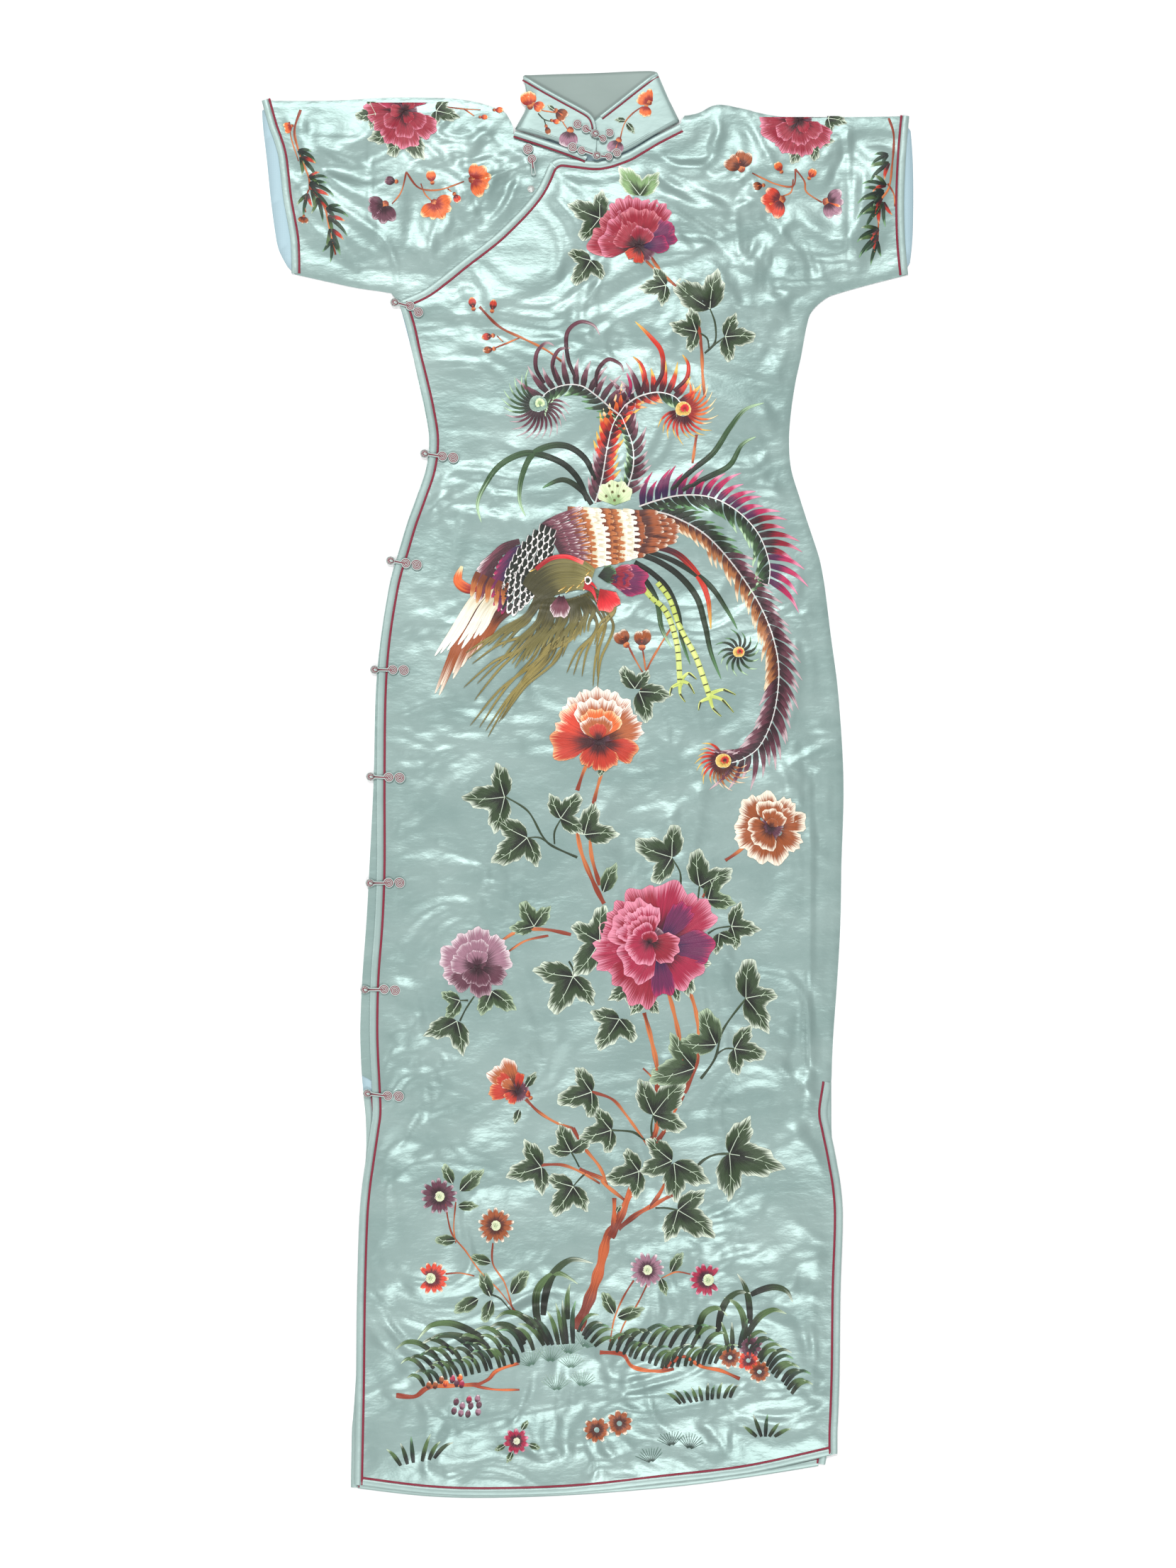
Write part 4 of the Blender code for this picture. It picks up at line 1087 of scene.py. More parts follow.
# Each stem: its points, its width, and its silk where that isn't the usual one.
STEMS = [
    # the trunk and its branches
    ([(-10, -530), (2, -500), (12, -470), (19, -440), (26, -432)], 11, "bark"),
    ([(22, -440), (30, -425), (38, -405), (48, -382)], 8, "bark"),
    ([(24, -438), (26, -420), (26, -402)], 5, "bark"),
    ([(30, -432), (48, -418), (66, -408), (84, -398)], 5, "bark"),
    ([(60, -412), (70, -398), (76, -386)], 4, "bark"), ([(60, -352), (67, -335), (68, -318)], 6, "bark"),
    ([(64, -352), (76, -335), (84, -318), (93, -302)], 5, "bark"),
    ([(66, -312), (68, -280), (62, -248), (55, -222)], 5),
    ([(94, -300), (106, -270), (108, -240), (103, -212), (92, -186)], 4.5),
    ([(94, -284), (90, -250), (82, -214), (74, -190)], 4.5),
    ([(16, -116), (6, -96), (-6, -66), (-12, -34)], 4.5), ([(12, -98), (4, -70), (2, -44)], 4),
    ([(4, -26), (10, -2), (16, 18)], 3.6), ([(-10, -6), (-4, 12), (4, 28)], 3.6),
    ([(-8, -374), (16, -384), (14, -386), (36, -404)], 4),
    ([(-14, -334), (-4, -352), (12, -372), (20, -392)], 3.4),
    ([(-60, -306), (-48, -318), (-30, -329), (-14, -334)], 3),
    ([(-45, -370), (-24, -370), (-4, -378), (12, -388)], 3),
    ([(4, -299), (24, -306), (38, -322), (58, -350)], 3),
    ([(-16, -146), (-42, -141), (-68, -143), (-90, -157)], 3.4),
    ([(-38, -147), (-60, -152), (-76, -162)], 2.4), ([(134, -74), (146, -66), (158, -56)], 3.4),
    ([(112, -110), (118, -98), (120, -90)], 3), ([(54, -276), (62, -284), (66, -292)], 2),
    # the buds over the orange flower
    ([(52, 92), (58, 112), (70, 134), (84, 156)], 2.2), ([(40, 134), (46, 122), (54, 108)], 1.8),
    ([(53, 134), (55, 122), (57, 108)], 1.8),
    # leaf stalks
    ([(-10, -71), (-34, -60), (-44, -50), (-58, -26), (-80, -12)], 2.2, "petiole"),
    ([(-32, -58), (-32, -46), (-26, -34)], 1.8, "petiole"),
    ([(-34, -60), (-46, -52), (-58, -52)], 1.8, "petiole"),
    ([(90, -104), (90, -86), (82, -72)], 2, "petiole"),
    ([(107, -116), (108, -106), (109, -98)], 1.8, "petiole"),
    ([(117, -145), (126, -140), (140, -138)], 1.8, "petiole"),
    ([(110, -286), (124, -266), (132, -238), (154, -208)], 2.4, "petiole"),
    ([(126, -262), (134, -257), (143, -257)], 2, "petiole"),
    ([(64, -350), (62, -334), (64, -321)], 2, "petiole"),
    ([(56, -346), (44, -338), (23, -336)], 2.4, "petiole"),
    ([(102, -377), (112, -366), (124, -360), (138, -359)], 2.6, "petiole"),
    ([(66, -412), (76, -412), (88, -414)], 2, "petiole"),
    ([(-8, -372), (-12, -364), (-16, -357)], 1.8, "petiole"),
    ([(-2, -378), (-8, -384), (-14, -391)], 1.8, "petiole"),
    ([(-124, -230), (-118, -218), (-110, -206)], 1.8, "petiole"),
    ([(-116, -210), (-120, -210), (-124, -210)], 1.8, "petiole"),
    ([(-18, -172), (-14, -180), (-14, -187)], 1.8, "petiole"),
    ([(-93, -496), (-84, -500), (-74, -512)], 1.6, "petiole"),
    # daisies
    ([(-138, -408), (-132, -436), (-118, -454), (-104, -474), (-84, -494), (-70, -512)], 1.6),
    ([(-128, -406), (-130, -430), (-128, -446)], 1.4),
    ([(-92, -446), (-92, -466), (-80, -486), (-72, -512)], 1.8),
    ([(-138, -476), (-124, -475), (-110, -478)], 1.6),
    ([(45, -482), (34, -500), (26, -520), (22, -542)], 1.8),
    ([(58, -486), (48, -506), (36, -524), (30, -540)], 1.6), ([(100, -476), (86, -474), (72, -480)], 1.6),
    # the ground
    ([(-186, -594), (-168, -595), (-154, -586), (-128, -584), (-104, -583)], 4.5, "soil"),
    ([(-108, -584), (-96, -578), (-88, -570), (-66, -562)], 3.6, "soil"),
    ([(-112, -584), (-90, -588), (-66, -588)], 2.6, "soil"),
    ([(12, -552), (34, -554), (44, -566), (68, -570), (84, -568)], 4, "soil"),
    ([(72, -570), (84, -560), (94, -556), (112, -566), (130, -570), (148, -578)], 4, "soil"),
    # about the breast
    ([(56, 522), (66, 506), (76, 494), (86, 484)], 3), ([(50, 516), (64, 502), (84, 486)], 2.4),
    ([(114, 419), (124, 430), (124, 448), (119, 462)], 2, "petiole"),
    ([(118, 424), (116, 434), (106, 440)], 1.8, "petiole"),
    ([(114, 419), (124, 428), (134, 435)], 2, "petiole"),
    ([(108, 446), (111, 420), (112, 396), (114, 376)], 3.4), ([(106, 340), (104, 326), (102, 312)], 3),
    ([(-105, 464), (-86, 445), (-62, 433), (-40, 422), (-24, 410)], 2.6),
    ([(-90, 424), (-80, 428), (-66, 434)], 1.8), ([(-88, 436), (-82, 430)], 1.4),
    # on the wearer's left sleeve
    ([(202, 598), (200, 582), (182, 584), (160, 594)], 1.8), ([(200, 588), (198, 576), (190, 572)], 1.6),
    ([(202, 598), (211, 586), (213, 576), (228, 566)], 1.8),
    ([(293, 648), (298, 630), (296, 600), (293, 580), (284, 565), (283, 545), (282, 526)], 2.2),
    ([(292, 584), (298, 574), (299, 562)], 1.8),
]
SHOULDER_STEMS = [
    ([(-176, 595), (-164, 580), (-144, 578), (-120, 586)], 1.8),
    ([(-176, 595), (-181, 576), (-190, 564)], 1.6), ([(-162, 584), (-158, 574), (-150, 566)], 1.4),
    ([(-136, 579), (-132, 576)], 1.4), ([(-138, 659), (-122, 657), (-104, 656)], 1.4),
    ([(-120, 657), (-110, 650)], 1.4),
    ([(-279, 656), (-285, 634), (-278, 608), (-271, 590), (-270, 578)], 2.4),
    ([(-270, 580), (-256, 562), (-252, 546), (-245, 515)], 2.2),
    ([(-271, 578), (-275, 566), (-274, 556)], 1.6), ([(-290, 644), (-288, 628), (-281, 606)], 1.4),
]

# ---- fastenings ----
# Each frog: x and y of its small coil, of its large coil, and of its knot or the end of its loop.
FROGS = {
    "armhole": (-172.5, 464.5, -164.5, 458.5, -187.5, 468.5),
    "bust": (-141, 318.5, -130.5, 317, -158.4, 321.5),
    "waist": (-176.5, 214.5, -166, 213, -191.5, 217.5),
    "hip": (-189, 111, -178.5, 110.5, -207, 111.5),
    "thigh_upper": (-193, 6.5, -182.5, 6, -211, 7.5),
    "thigh_lower": (-193, -96, -182.5, -96, -211.5, -96),
    "knee_upper": (-197.5, -199.5, -187, -200.5, -216.5, -199.5),
    "knee_lower": (-194, -303, -183.5, -303.5, -214, -300.5),
    "neck": (-53.7, 607.8, -57.5, 617.4, -52.5, 594.5),
    "collar_upper": (-1.5, 637, -9.5, 641.5, 7.4, 631.8),
    "collar_lower": (-5.5, 616, -14.3, 619, 9, 610.5),
    "collar_upper_end": (14.9, 626.9, 21.4, 632.6, 7.4, 631.8),
    "collar_lower_end": (20.6, 609.3, 28.5, 612.9, 9, 610.5),
}
CORD_RADIUS = 0.72
LINE_RADIUS = 0.42  # the red line that is rolled into the cord
COIL_PITCH = 1.46


def lowest(name):
    """The height of a solid's underside in millimetres."""
    return min(vert.co.z for vert in NODES[name].data.vertices) / MM


def add_coil(cord, line, x, y, radius, level, start):
    """A flat coil of cord, with the red line between its turns."""
    turns = (radius - CORD_RADIUS) / COIL_PITCH
    angle = np.linspace(0.15, 2 * math.pi * turns, int(turns * 20))
    for bm, shift, width, lift in ((cord, 0.0, CORD_RADIUS, 0.92), (line, -0.5, LINE_RADIUS, 1.36)):
        reach = np.clip((angle / (2 * math.pi) + shift) * COIL_PITCH, 0.05, None)
        way = start + angle - angle[-1]
        path = [x + reach * np.cos(way), y + reach * np.sin(way), np.full_like(angle, level + lift)]
        path = np.stack(path, 1)[reach > 0.1]
        add_tube(bm, path, width, 6)


def add_loop(cord, line, small, knot, level, edge_level, around):
    """The two cords that leave the small coil and loop round the knot."""
    small, knot = np.array(small), np.array(knot)
    way = (knot - small) / np.linalg.norm(knot - small)
    side = np.array([-way[1], way[0]])
    reach = float(np.linalg.norm(knot - small))
    outline = [(3.0, 1.0), (reach * 0.5, 1.0), (reach - 4.4, 1.3), (reach - 1.6, around)]
    outline += [(reach + 1.8, around), (reach + around + 0.8, 0.0)]
    outline += [(a, -b) for a, b in reversed(outline[:-1])]
    middle = [(1.0, 0), (reach * 0.5, 0), (reach - 4.0, 0)]
    for bm, points, lift, width in ((cord, outline, 0.95, CORD_RADIUS), (line, middle, 1.5, LINE_RADIUS)):
        flat = np.array([small + way * a + side * b for a, b in points])
        rise = smoothstep(reach * 0.45, reach, np.array([a for a, _ in points]))
        z = level + lift + (edge_level - level) * rise
        add_tube(bm, spline(np.column_stack([flat, z]), 1.2), width, 6)


def add_knot(cord, line, x, y, level, radius):
    """A ball knot: a core wrapped by three turns of cord."""
    middle = Vector((x, y, level + 0.78 * radius))
    place = Matrix.Translation(middle) @ Matrix.Diagonal((1, 1, 0.8, 1))
    bmesh.ops.create_icosphere(cord, subdivisions=3, radius=radius * 0.86, matrix=place)
    turn = np.linspace(0, 2 * math.pi, 25)
    for k in range(4):
        tilt = Matrix.Rotation(k * math.pi / 4, 3, "Z") @ Matrix.Rotation(0.9, 3, "X")
        for bm, reach, width in ((cord, radius * 0.84, 0.7), (line, radius * 0.95, 0.32)):
            shift = 0.0 if bm is cord else 0.75
            ring = [tilt @ Vector((reach * math.cos(a), reach * math.sin(a), shift)) for a in turn]
            path = [(p.x + x, p.y + y, 0.8 * p.z + middle.z) for p in ring]
            add_tube(bm, path, width, 6, closed=True)


class CHEONGSAM_OT_frogs(bpy.types.Operator):
    """Coils the frogs, ties their knots and sets the press stud"""

    bl_idname = "cheongsam.frogs"
    bl_label = "Frogs and stud"

    def execute(self, context):
        cord, line = bmesh.new(), bmesh.new()
        for name, frog in FROGS.items():
            level = lowest("frog_" + name) - 0.2
            knot = "knot_" + name.removesuffix("_end")
            small, large, tied = frog[:2], frog[2:4], frog[4:]
            start = math.atan2(tied[1] - small[1], tied[0] - small[0])
            room = math.dist(small, large)
            add_coil(cord, line, *large, room * 0.60, level, start)
            add_coil(cord, line, *small, room * 0.55, level, start)
            edge_level = lowest(knot) + 1.2 if knot in NODES else level
            add_loop(cord, line, small, tied, level, edge_level, 3.0 if knot in NODES else 1.6)
            if "knot_" + name in NODES:
                add_knot(cord, line, *tied, lowest(knot), 3.4)
        names = [name for name in NODES if name.startswith(("frog_", "knot_"))]
        finish_piece(cord, "frog_cords", ["cord"], names)
        finish_piece(line, "frog_lines", ["piping"], ())
        stud = bmesh.new()
        base = lowest("press_stud")
        for radius, top, low, high in ((3.5, 3.3, 0.0, 0.5), (2.5, 2.2, 0.5, 1.1), (1.2, 0.9, 1.1, 1.4)):
            place = Matrix.Translation((-55, 579, base + (low + high) / 2))
            sizes = {"radius1": radius, "radius2": top, "depth": high - low}
            bmesh.ops.create_cone(stud, cap_ends=True, segments=32, matrix=place, **sizes)
        finish_piece(stud, "stud_socket", ["steel"], ["press_stud"])
        return {"FINISHED"}


OVER_TOP = [(9, 629), (8, 642), (3, 651), (-8, 658), (-21, 665), (-41, 676), (-57, 685.5), (-61, 688)]
UNDER_EDGE = [(67, 691.6), (61, 688), (49, 679), (30, 664), (12, 650)]
OVER_FOOT = [(-64, 635.4), (-42, 629), (-22, 622), (-9, 617.2), (4, 612.6)]
UNDER_FOOT = [(16, 609.6), (38, 616.4), (64, 631), (84, 642)]


def over_height(x, y):
    return np.interp(x, [-66, -57], [3.6, 5.85 + COLLAR_THICK / 2 + 0.05])


def under_height(x, y):
    return np.interp(x, [60, 68, 88], [4.25 + COLLAR_THICK / 2 + 0.05, 3.4, 3.4])


class CHEONGSAM_OT_collar_trim(bpy.types.Operator):
    """Binds, pipes and topstitches the collar, and embroiders its blossoms"""

    bl_idname = "cheongsam.collar_trim"
    bl_label = "Collar edges and blossoms"

    def execute(self, context):
        bound, piped, stitched = bmesh.new(), bmesh.new(), bmesh.new()
        for points, height in ((OVER_TOP, over_height), (UNDER_EDGE, under_height)):
            line = spline(points, 2.0)
            add_band(bound, line, -0.2, 3.3, BOUND, height)
            add_band(piped, line, 3.3, 4.8, CORD, height)
        for points, height in ((OVER_FOOT, over_height), (UNDER_FOOT, under_height)):
            line = spline(points, 2.0)
            for reach in (2.6, 3.8):
                add_band(stitched, line, reach, reach + 0.4, [(0, 0.0), (0.5, 0.15), (1, 0.0)], height)
        foot = spline([(-70, 635.5), (-50, 629), (-22, 619.5), (-6, 613.5), (0, 611)], 2.0)
        level = lowest("collar_foot_binding")
        for bm, near, far, profile in ((bound, -5.2, 0.0, BOUND), (piped, -7.2, -5.4, CORD)):
            add_band(bm, foot, near, far, profile, lambda x, y: np.full_like(x, level))
        edges, cords = edge_nodes("_binding", True), edge_nodes("_piping", True)
        finish_piece(bound, "collar_bindings", ["binding"], edges)
        finish_piece(piped, "collar_pipings", ["piping"], cords)
        finish_piece(stitched, "collar_topstitching", ["thread"], ())
        over = Stitches(over_height, 61)
        for blossom in (
            (-56, 660, 100, 12, "amber", 4), (-52, 661, -30, 9, "amber", 2), (-30, 654, -35, 10, "nut", 2),
            (-34, 645, -15, 7, "amber", 1), (-40, 639, -70, 7, "nut", 1), (-17, 634, 262, 14, "mauve", 5),
        ):
            over.blossom(*blossom, 70)
        over.stem([(-52, 660), (-44, 655), (-32, 653)], 1.4, "twig")
        over.stem([(-48, 652), (-42, 646), (-34, 644)], 1.2, "petiole")
        over.stem([(-42, 646), (-41, 642), (-40, 639)], 1.2, "petiole")
        over.stem([(-26, 648), (-23, 642), (-19, 636)], 1.2, "twig")
        over.leaf(-32, 655, 150, 9, "one")
        over.piece("collar_over_blossoms")
        under = Stitches(under_height, 62)
        under.stem([(54, 659), (46, 654), (38, 646), (34, 637), (32, 628)], 1.4, "twig")
        under.stem([(64, 664), (72, 663), (76, 664)], 1.1, "twig")
        under.leaf(37, 645.5, 172, 12, "one")
        under.leaf(38, 643, -58, 14, "one")
        under.leaf(74, 661, -105, 11, "one")
        for blossom in (
            (59, 664, 150, 11, "amber", 3), (61, 664, 65, 11, "amber", 3),
            (57, 659, -100, 9, "amber", 3), (30, 625, -110, 12, "mauve", 4),
        ):
            under.blossom(*blossom, 80)
        under.piece("collar_under_blossoms")
        return {"FINISHED"}


# Peonies. Each row of petals says how many, from which angle to which, their reach, half spread
# and silk, where along the stitch the dye starts, and how far out the petals are rooted.
PEONIES = [
    # the orange peony, seen from its side: outer petals, then a cup of nested ones
    (11, 42, [
        (3, 50, 130, 48, 30, "russet", 0.3, 4), (2, 4, 56, 42, 26, "russet", 0.2, 4),
        (2, 124, 178, 42, 26, "flame", 0.2, 4), (1, 168, 200, 44, 30, "ember", 0.1, 2),
        (1, -26, -6, 36, 30, "ember", 0.1, 4), (2, 60, 124, 39, 34, "russet", 0.3, 2),
        (2, 52, 116, 32, 36, "amber", 0.2, 2), (2, 64, 130, 25, 38, "russet", 0.2, 0),
        (1, 80, 110, 19, 50, "ember", 0.1, 0), (3, 226, 320, 27, 28, "ember", 0.1, 2),
    ]),
    # the brown peony by the wearer's left hip
    (178, -42, [
        (3, 80, 190, 33, 28, "nut", 0.34, 3), (3, 188, 300, 32, 30, "nut", 0.34, 3),
        (3, -60, 80, 31, 28, "nut", 0.34, 3), (3, 10, 130, 24, 32, "nut", 0.3, 3),
        (3, 150, 290, 20, 34, "nut", 0.26, 2), (2, 20, 110, 17, 40, "nut", 0.26, 1),
        (1, 40, 90, 10, 60, "nut", 0, 0),
    ]),
    # the large pink peony at the knee: its outer petals
    (68, -158, [
        (2, 28, 92, 60, 27, "rose", 0.2, 4), (2, 92, 152, 57, 26, "peony", 0.2, 4),
        (2, 152, 206, 55, 26, "rose", 0.2, 4), (2, 204, 262, 53, 27, "peony", 0.15, 4),
        (2, -66, -10, 46, 28, "rose", 0.15, 4), (1, -14, 22, 56, 27, "violet", 0.1, 2),
        (1, 262, 296, 46, 22, "violet", 0.1, 2), (1, 44, 66, 48, 20, "violet", 0.1, 0),
        (2, 180, 250, 41, 34, "rose", 0.2, 0),
    ]),
    # and its cup of nested petals
    (60, -152, [
        (2, 92, 178, 42, 33, "peony", 0.35, 0), (3, 74, 172, 34, 32, "rose", 0.4, 0),
        (2, 84, 160, 27, 38, "peony", 0.4, 0), (1, 112, 132, 20, 54, "rose", 0.45, 0),
        (1, -44, -10, 34, 42, "peony", 0.2, -3), (2, 186, 262, 27, 42, "rose", 0.25, -4),
        (1, 40, 110, 13, 64, "peony", 0.2, -3),
    ], 1.5),
    # the mauve peony by the wearer's right knee
    (-107, -176, [
        (3, 100, 220, 33, 29, "mauve", 0.2, 3), (3, -10, 110, 32, 29, "mauve", 0.2, 3),
        (3, 196, 356, 28, 34, "plum", 0.15, 3), (3, 60, 200, 23, 36, "mauve", 0.1, 2),
        (2, 210, 320, 18, 38, "plum", 0.1, 2), (2, 40, 140, 15, 44, "mauve", 0, 0),
    ]),
    # the orange bud over the wearer's right knee
    (-68, -298, [
        (2, 100, 160, 30, 24, "russet", 0.2, 2), (2, 120, 200, 25, 26, "ember", 0.1, 1),
        (1, 130, 160, 19, 30, "russet", 0.1, 1), (2, 190, 260, 14, 26, "ember", 0.1, 1),
        (1, 70, 100, 17, 22, "ember", 0, 0),
    ]),
    # the crimson peony on the breast
    (50, 522, [
        (3, 96, 190, 44, 27, "crimson", 0.2, 4), (3, 50, 130, 44, 25, "peony", 0.2, 4),
        (2, 10, 50, 36, 26, "violet", 0.1, 4), (3, 100, 190, 34, 30, "peony", 0.15, 3),
        (2, 56, 120, 33, 30, "crimson", 0.15, 3), (1, -10, 20, 27, 30, "violet", 0.1, 3),
        (2, 96, 170, 24, 34, "crimson", 0.1, 2), (2, 40, 110, 19, 38, "peony", 0.1, 1),
        (2, 190, 300, 15, 30, "ember", 0, 0),
    ]),
]
SLEEVE_PEONY = [
    (4, 30, 200, 36, 28, "peony", 0.2, 4),
    (4, 180, 340, 33, 30, "peony", 0.15, 3),
    (3, 20, 170, 26, 32, "rose", 0.15, 3),
    (3, 190, 350, 23, 34, "peony", 0.1, 2),
    (3, 0, 360, 13, 46, "crimson", 0, 0),
]
# Each daisy: x, y, reach, silk and petals, the arc that they span, and the share of its heart.
DAISIES = [
    (-144, -400.5, 17.5, "plum", 14), (-89.5, -429, 17.5, "nut", 14),
    (-151, -480, 16, "flame", 11, -150, 150, 0.34), (58, -472, 17, "mauve", 15),
    (115, -481.5, 16, "rose", 11, 30, 330, 0.38), (-69, -638, 12.5, "rose", 10),
    # small pointed flowers without a heart
    (158.4, -546.6, 12, "plum", 10, 0, 360, 0), (138.5, -557, 11, "nut", 9, 0, 360, 0),
    (156.3, -560, 11, "flame", 9, 0, 360, 0), (167, -571, 11, "nut", 9, 0, 360, 0),
    (9, -627.5, 13, "nut", 9, 0, 360, 0), (31, -621, 13, "nut", 9, 0, 360, 0),
]
# Each blossom: x, y, angle, reach, silk, how many petals, and the arc that they span.
BLOSSOMS = [
    (-99, -161, 36, 9, "amber", 1, 1), (-56, -304, 130, 9, "amber", 1, 1),
    (149, 600, 110, 15, "nut", 4, 150), (187, 568, 200, 16, "flame", 4, 160),
    (234, 566, -20, 16, "mauve", 4, 170), (188, 596, 120, 8, "amber", 2, 40),
    (216, 590, 60, 8, "amber", 2, 40), (170, 582, 190, 8, "nut", 2, 40), (37, 137, 120, 13, "nut", 3, 60),
    (53, 135, 90, 14, "nut", 3, 60), (-111, 463, 100, 9, "ember", 1, 1),
    (-92.5, 461, 80, 9, "ember", 1, 1), (-93, 436, 190, 9, "ember", 1, 1),
    (-92, 423, 190, 9, "nut", 1, 1),
]
SHOULDER_BLOSSOMS = [
    (-198, 562, 230, 16, "plum", 5, 190), (-110, 588, 10, 16, "amber", 5, 200),
    (-148, 564, 300, 15, "amber", 5, 200), (-151, 586, 100, 9, "amber", 2, 40),
    (-187, 586, 170, 9, "plum", 2, 40), (-129, 573, 300, 8, "flame", 2, 40),
    (-104, 649, 0, 6, "amber", 1, 1), (-90, 656, 0, 7, "amber", 1, 1),
    (-288, 640, 200, 7, "amber", 3, 90), (-276, 552, 260, 6, "nut", 3, 120),
]
# Each spray of bamboo: x, y, angle, reach, width and bend.
BAMBOO = [
    (292, 612, 200, 24, 4.6, 30), (293, 604, 216, 34, 5, 24), (290, 582, 160, 30, 4.6, 40),
    (288, 576, 192, 36, 5, 30), (286, 570, 212, 40, 5.2, 20), (284, 562, 232, 34, 4.8, 16),
    (284, 556, 176, 22, 4, 30), (283, 540, 200, 32, 4.8, 30), (282, 534, 224, 36, 5, 16),
    (282, 528, 250, 30, 4.6, 10), (288, 566, 268, 30, 4.6, 16),
]
SHOULDER_BAMBOO = [
    (-281, 616, -20, 26, 4.6, -34), (-279, 610, -44, 32, 5, -20), (-271, 590, 14, 24, 4.2, -40),
    (-270, 584, -16, 34, 5, -28), (-268, 578, -42, 36, 5.2, -20), (-262, 570, -74, 30, 4.6, -12),
    (-254, 560, -10, 30, 4.8, -30), (-252, 552, -38, 34, 5, -20), (-250, 540, -64, 34, 5, -14),
    (-248, 530, -92, 28, 4.6, -8), (-272, 574, 254, 28, 4.4, 12),
]
# Combs of grass: from x and y to x and y, how many blades, their first and last angle, their first
# and last bend, reach and width.
GRASS = [
    # the bank under the wearer's right, whose blades fall outward
    (-160, -570, -54, -550, 12, 124, 112, 92, 70, 33, 4.6),
    (-146, -556, -62, -544, 6, 136, 124, 80, 70, 42, 5),
    (-158, -585, -66, -562, 15, 112, 102, 96, 70, 26, 4.2),
    (-102, -538, -96, -546, 2, 146, 154, 76, 50, 68, 6.4),
    (-52, -529, -60, -540, 2, 138, 134, 80, 70, 50, 5.6),
    # the tall tuft beside the trunk
    (-46, -533, -43, -516, 2, 98, 82, -130, -92, 92, 7.4),
    (-42, -545, -14, -543, 7, 118, 92, 50, -16, 38, 4.8),
    (-20, -520, -18, -520, 1, 96, 96, -18, -18, 32, 5.4),
    (-9, -532, 6, -546, 5, 66, 44, -70, -60, 26, 4.4),
    # the bank under the wearer's left, whose blades fall the other way
    (28, -546, 112, -548, 9, 62, 62, -80, -74, 36, 4.8),
    (22, -550, 72, -567, 9, 66, 74, -86, -70, 27, 4.2),
    (76, -567, 124, -563, 9, 76, 70, -60, -76, 30, 4.2),
    (106, -538, 128, -532, 2, 82, 82, -120, -90, 58, 6.6),
    (153, -540, 158, -524, 2, 94, 88, 62, 30, 56, 6.2),
    (154, -536, 159, -496, 2, 62, 26, -80, -86, 54, 6.4),
    (137, -552, 146, -548, 3, 100, 80, 10, -10, 32, 4.6),
    (154, -546, 199, -592, 13, 62, 50, -84, -80, 28, 4.4),
    # low tufts on the bare ground
    (90, -602, 137, -596, 10, 132, 66, 30, -36, 16, 3.8),
    (-182, -662, -148, -655, 6, 122, 56, 20, -34, 24, 4.2),
    (164, -634, 182, -634, 5, 138, 28, 10, -20, 20, 3.8),
]
# Pine-like fans by their silk, each with its x, y, angle and reach.
FANS = {
    "fan": [
        (-54, -566, 110, 18), (-36, -562, 90, 18), (-19, -554, 80, 18), (-3, -548, 70, 18),
        (-16, -568, 90, 16), (-30, -590, 90, 18), (-6, -586, 80, 16),
    ],
    "dark_fan": [(62, -660, 100, 16), (82, -644, 100, 16), (99, -647, 80, 16)],
}
PEBBLES = {
    "nut": [(-154.8, -584), (-148.7, -584), (-142.9, -579)],
    "amber": [(-138.4, -582), (-124.8, -577)],
    "rose": [(-132, -578), (-123, -583), (-115.8, -598)],
    "plum": [
        (-127.7, -582), (-128.3, -600), (-114.2, -604), (-106.2, -603), (-130.4, -609), (-116.9, -612),
    ],
    "mauve": [(-107.6, -597), (-122.4, -604), (-123.8, -611), (-107, -610)],
}


class CHEONGSAM_OT_flowers(bpy.types.Operator):
    """Embroiders the peonies, daisies and blossoms"""

    bl_idname = "cheongsam.flowers"
    bl_label = "Embroidered flowers"

    def execute(self, context):
        work = Stitches(FRONT_LAYER.height, 21)
        for peony in PEONIES:
            work.flower(*peony)
        work.flower(206, 646, SLEEVE_PEONY)
        for daisy in DAISIES:
            work.daisy(*daisy)
        for blossom in BLOSSOMS:
            work.blossom(*blossom)
        work.piece("front_flowers", [(120, 300, 649)])
        sleeve = Stitches(SHOULDER_LAYER.height, 22)
        sleeve.flower(-178, 655, SLEEVE_PEONY)
        for blossom in SHOULDER_BLOSSOMS:
            sleeve.blossom(*blossom)
        sleeve.piece("sleeve_flowers", [(-300, -80, 663)])
        return {"FINISHED"}


class CHEONGSAM_OT_foliage(bpy.types.Operator):
    """Embroiders the stems, leaves and bamboo"""

    bl_idname = "cheongsam.foliage"
    bl_label = "Embroidered foliage"

    def execute(self, context):
        front = STEMS, LEAVES, BAMBOO
        sleeve = SHOULDER_STEMS, SHOULDER_LEAVES, SHOULDER_BAMBOO
        for name, layer, (stems, leaves, bamboo), limits in (
            ("front_foliage", FRONT_LAYER, front, [(120, 318, 650)]),
            ("sleeve_foliage", SHOULDER_LAYER, sleeve, [(-318, -80, 664)]),
        ):
            work = Stitches(layer.height, 31)
            for stem in stems:
                work.stem(*stem)
            for leaf in leaves:
                work.leaf(*leaf)
            for i, (x, y, angle, reach, wide, bend) in enumerate(bamboo):
                for turn, size, silk in ((0, 0.8, "reed"), (-34, 0.55, "grass"), (30, 0.5, "ember")):
                    silk = silk if i % 3 else "reed"
                    work.grass(x, y, angle + turn, reach * size, wide * 0.8, bend, silk)
            work.piece(name, limits)
        return {"FINISHED"}


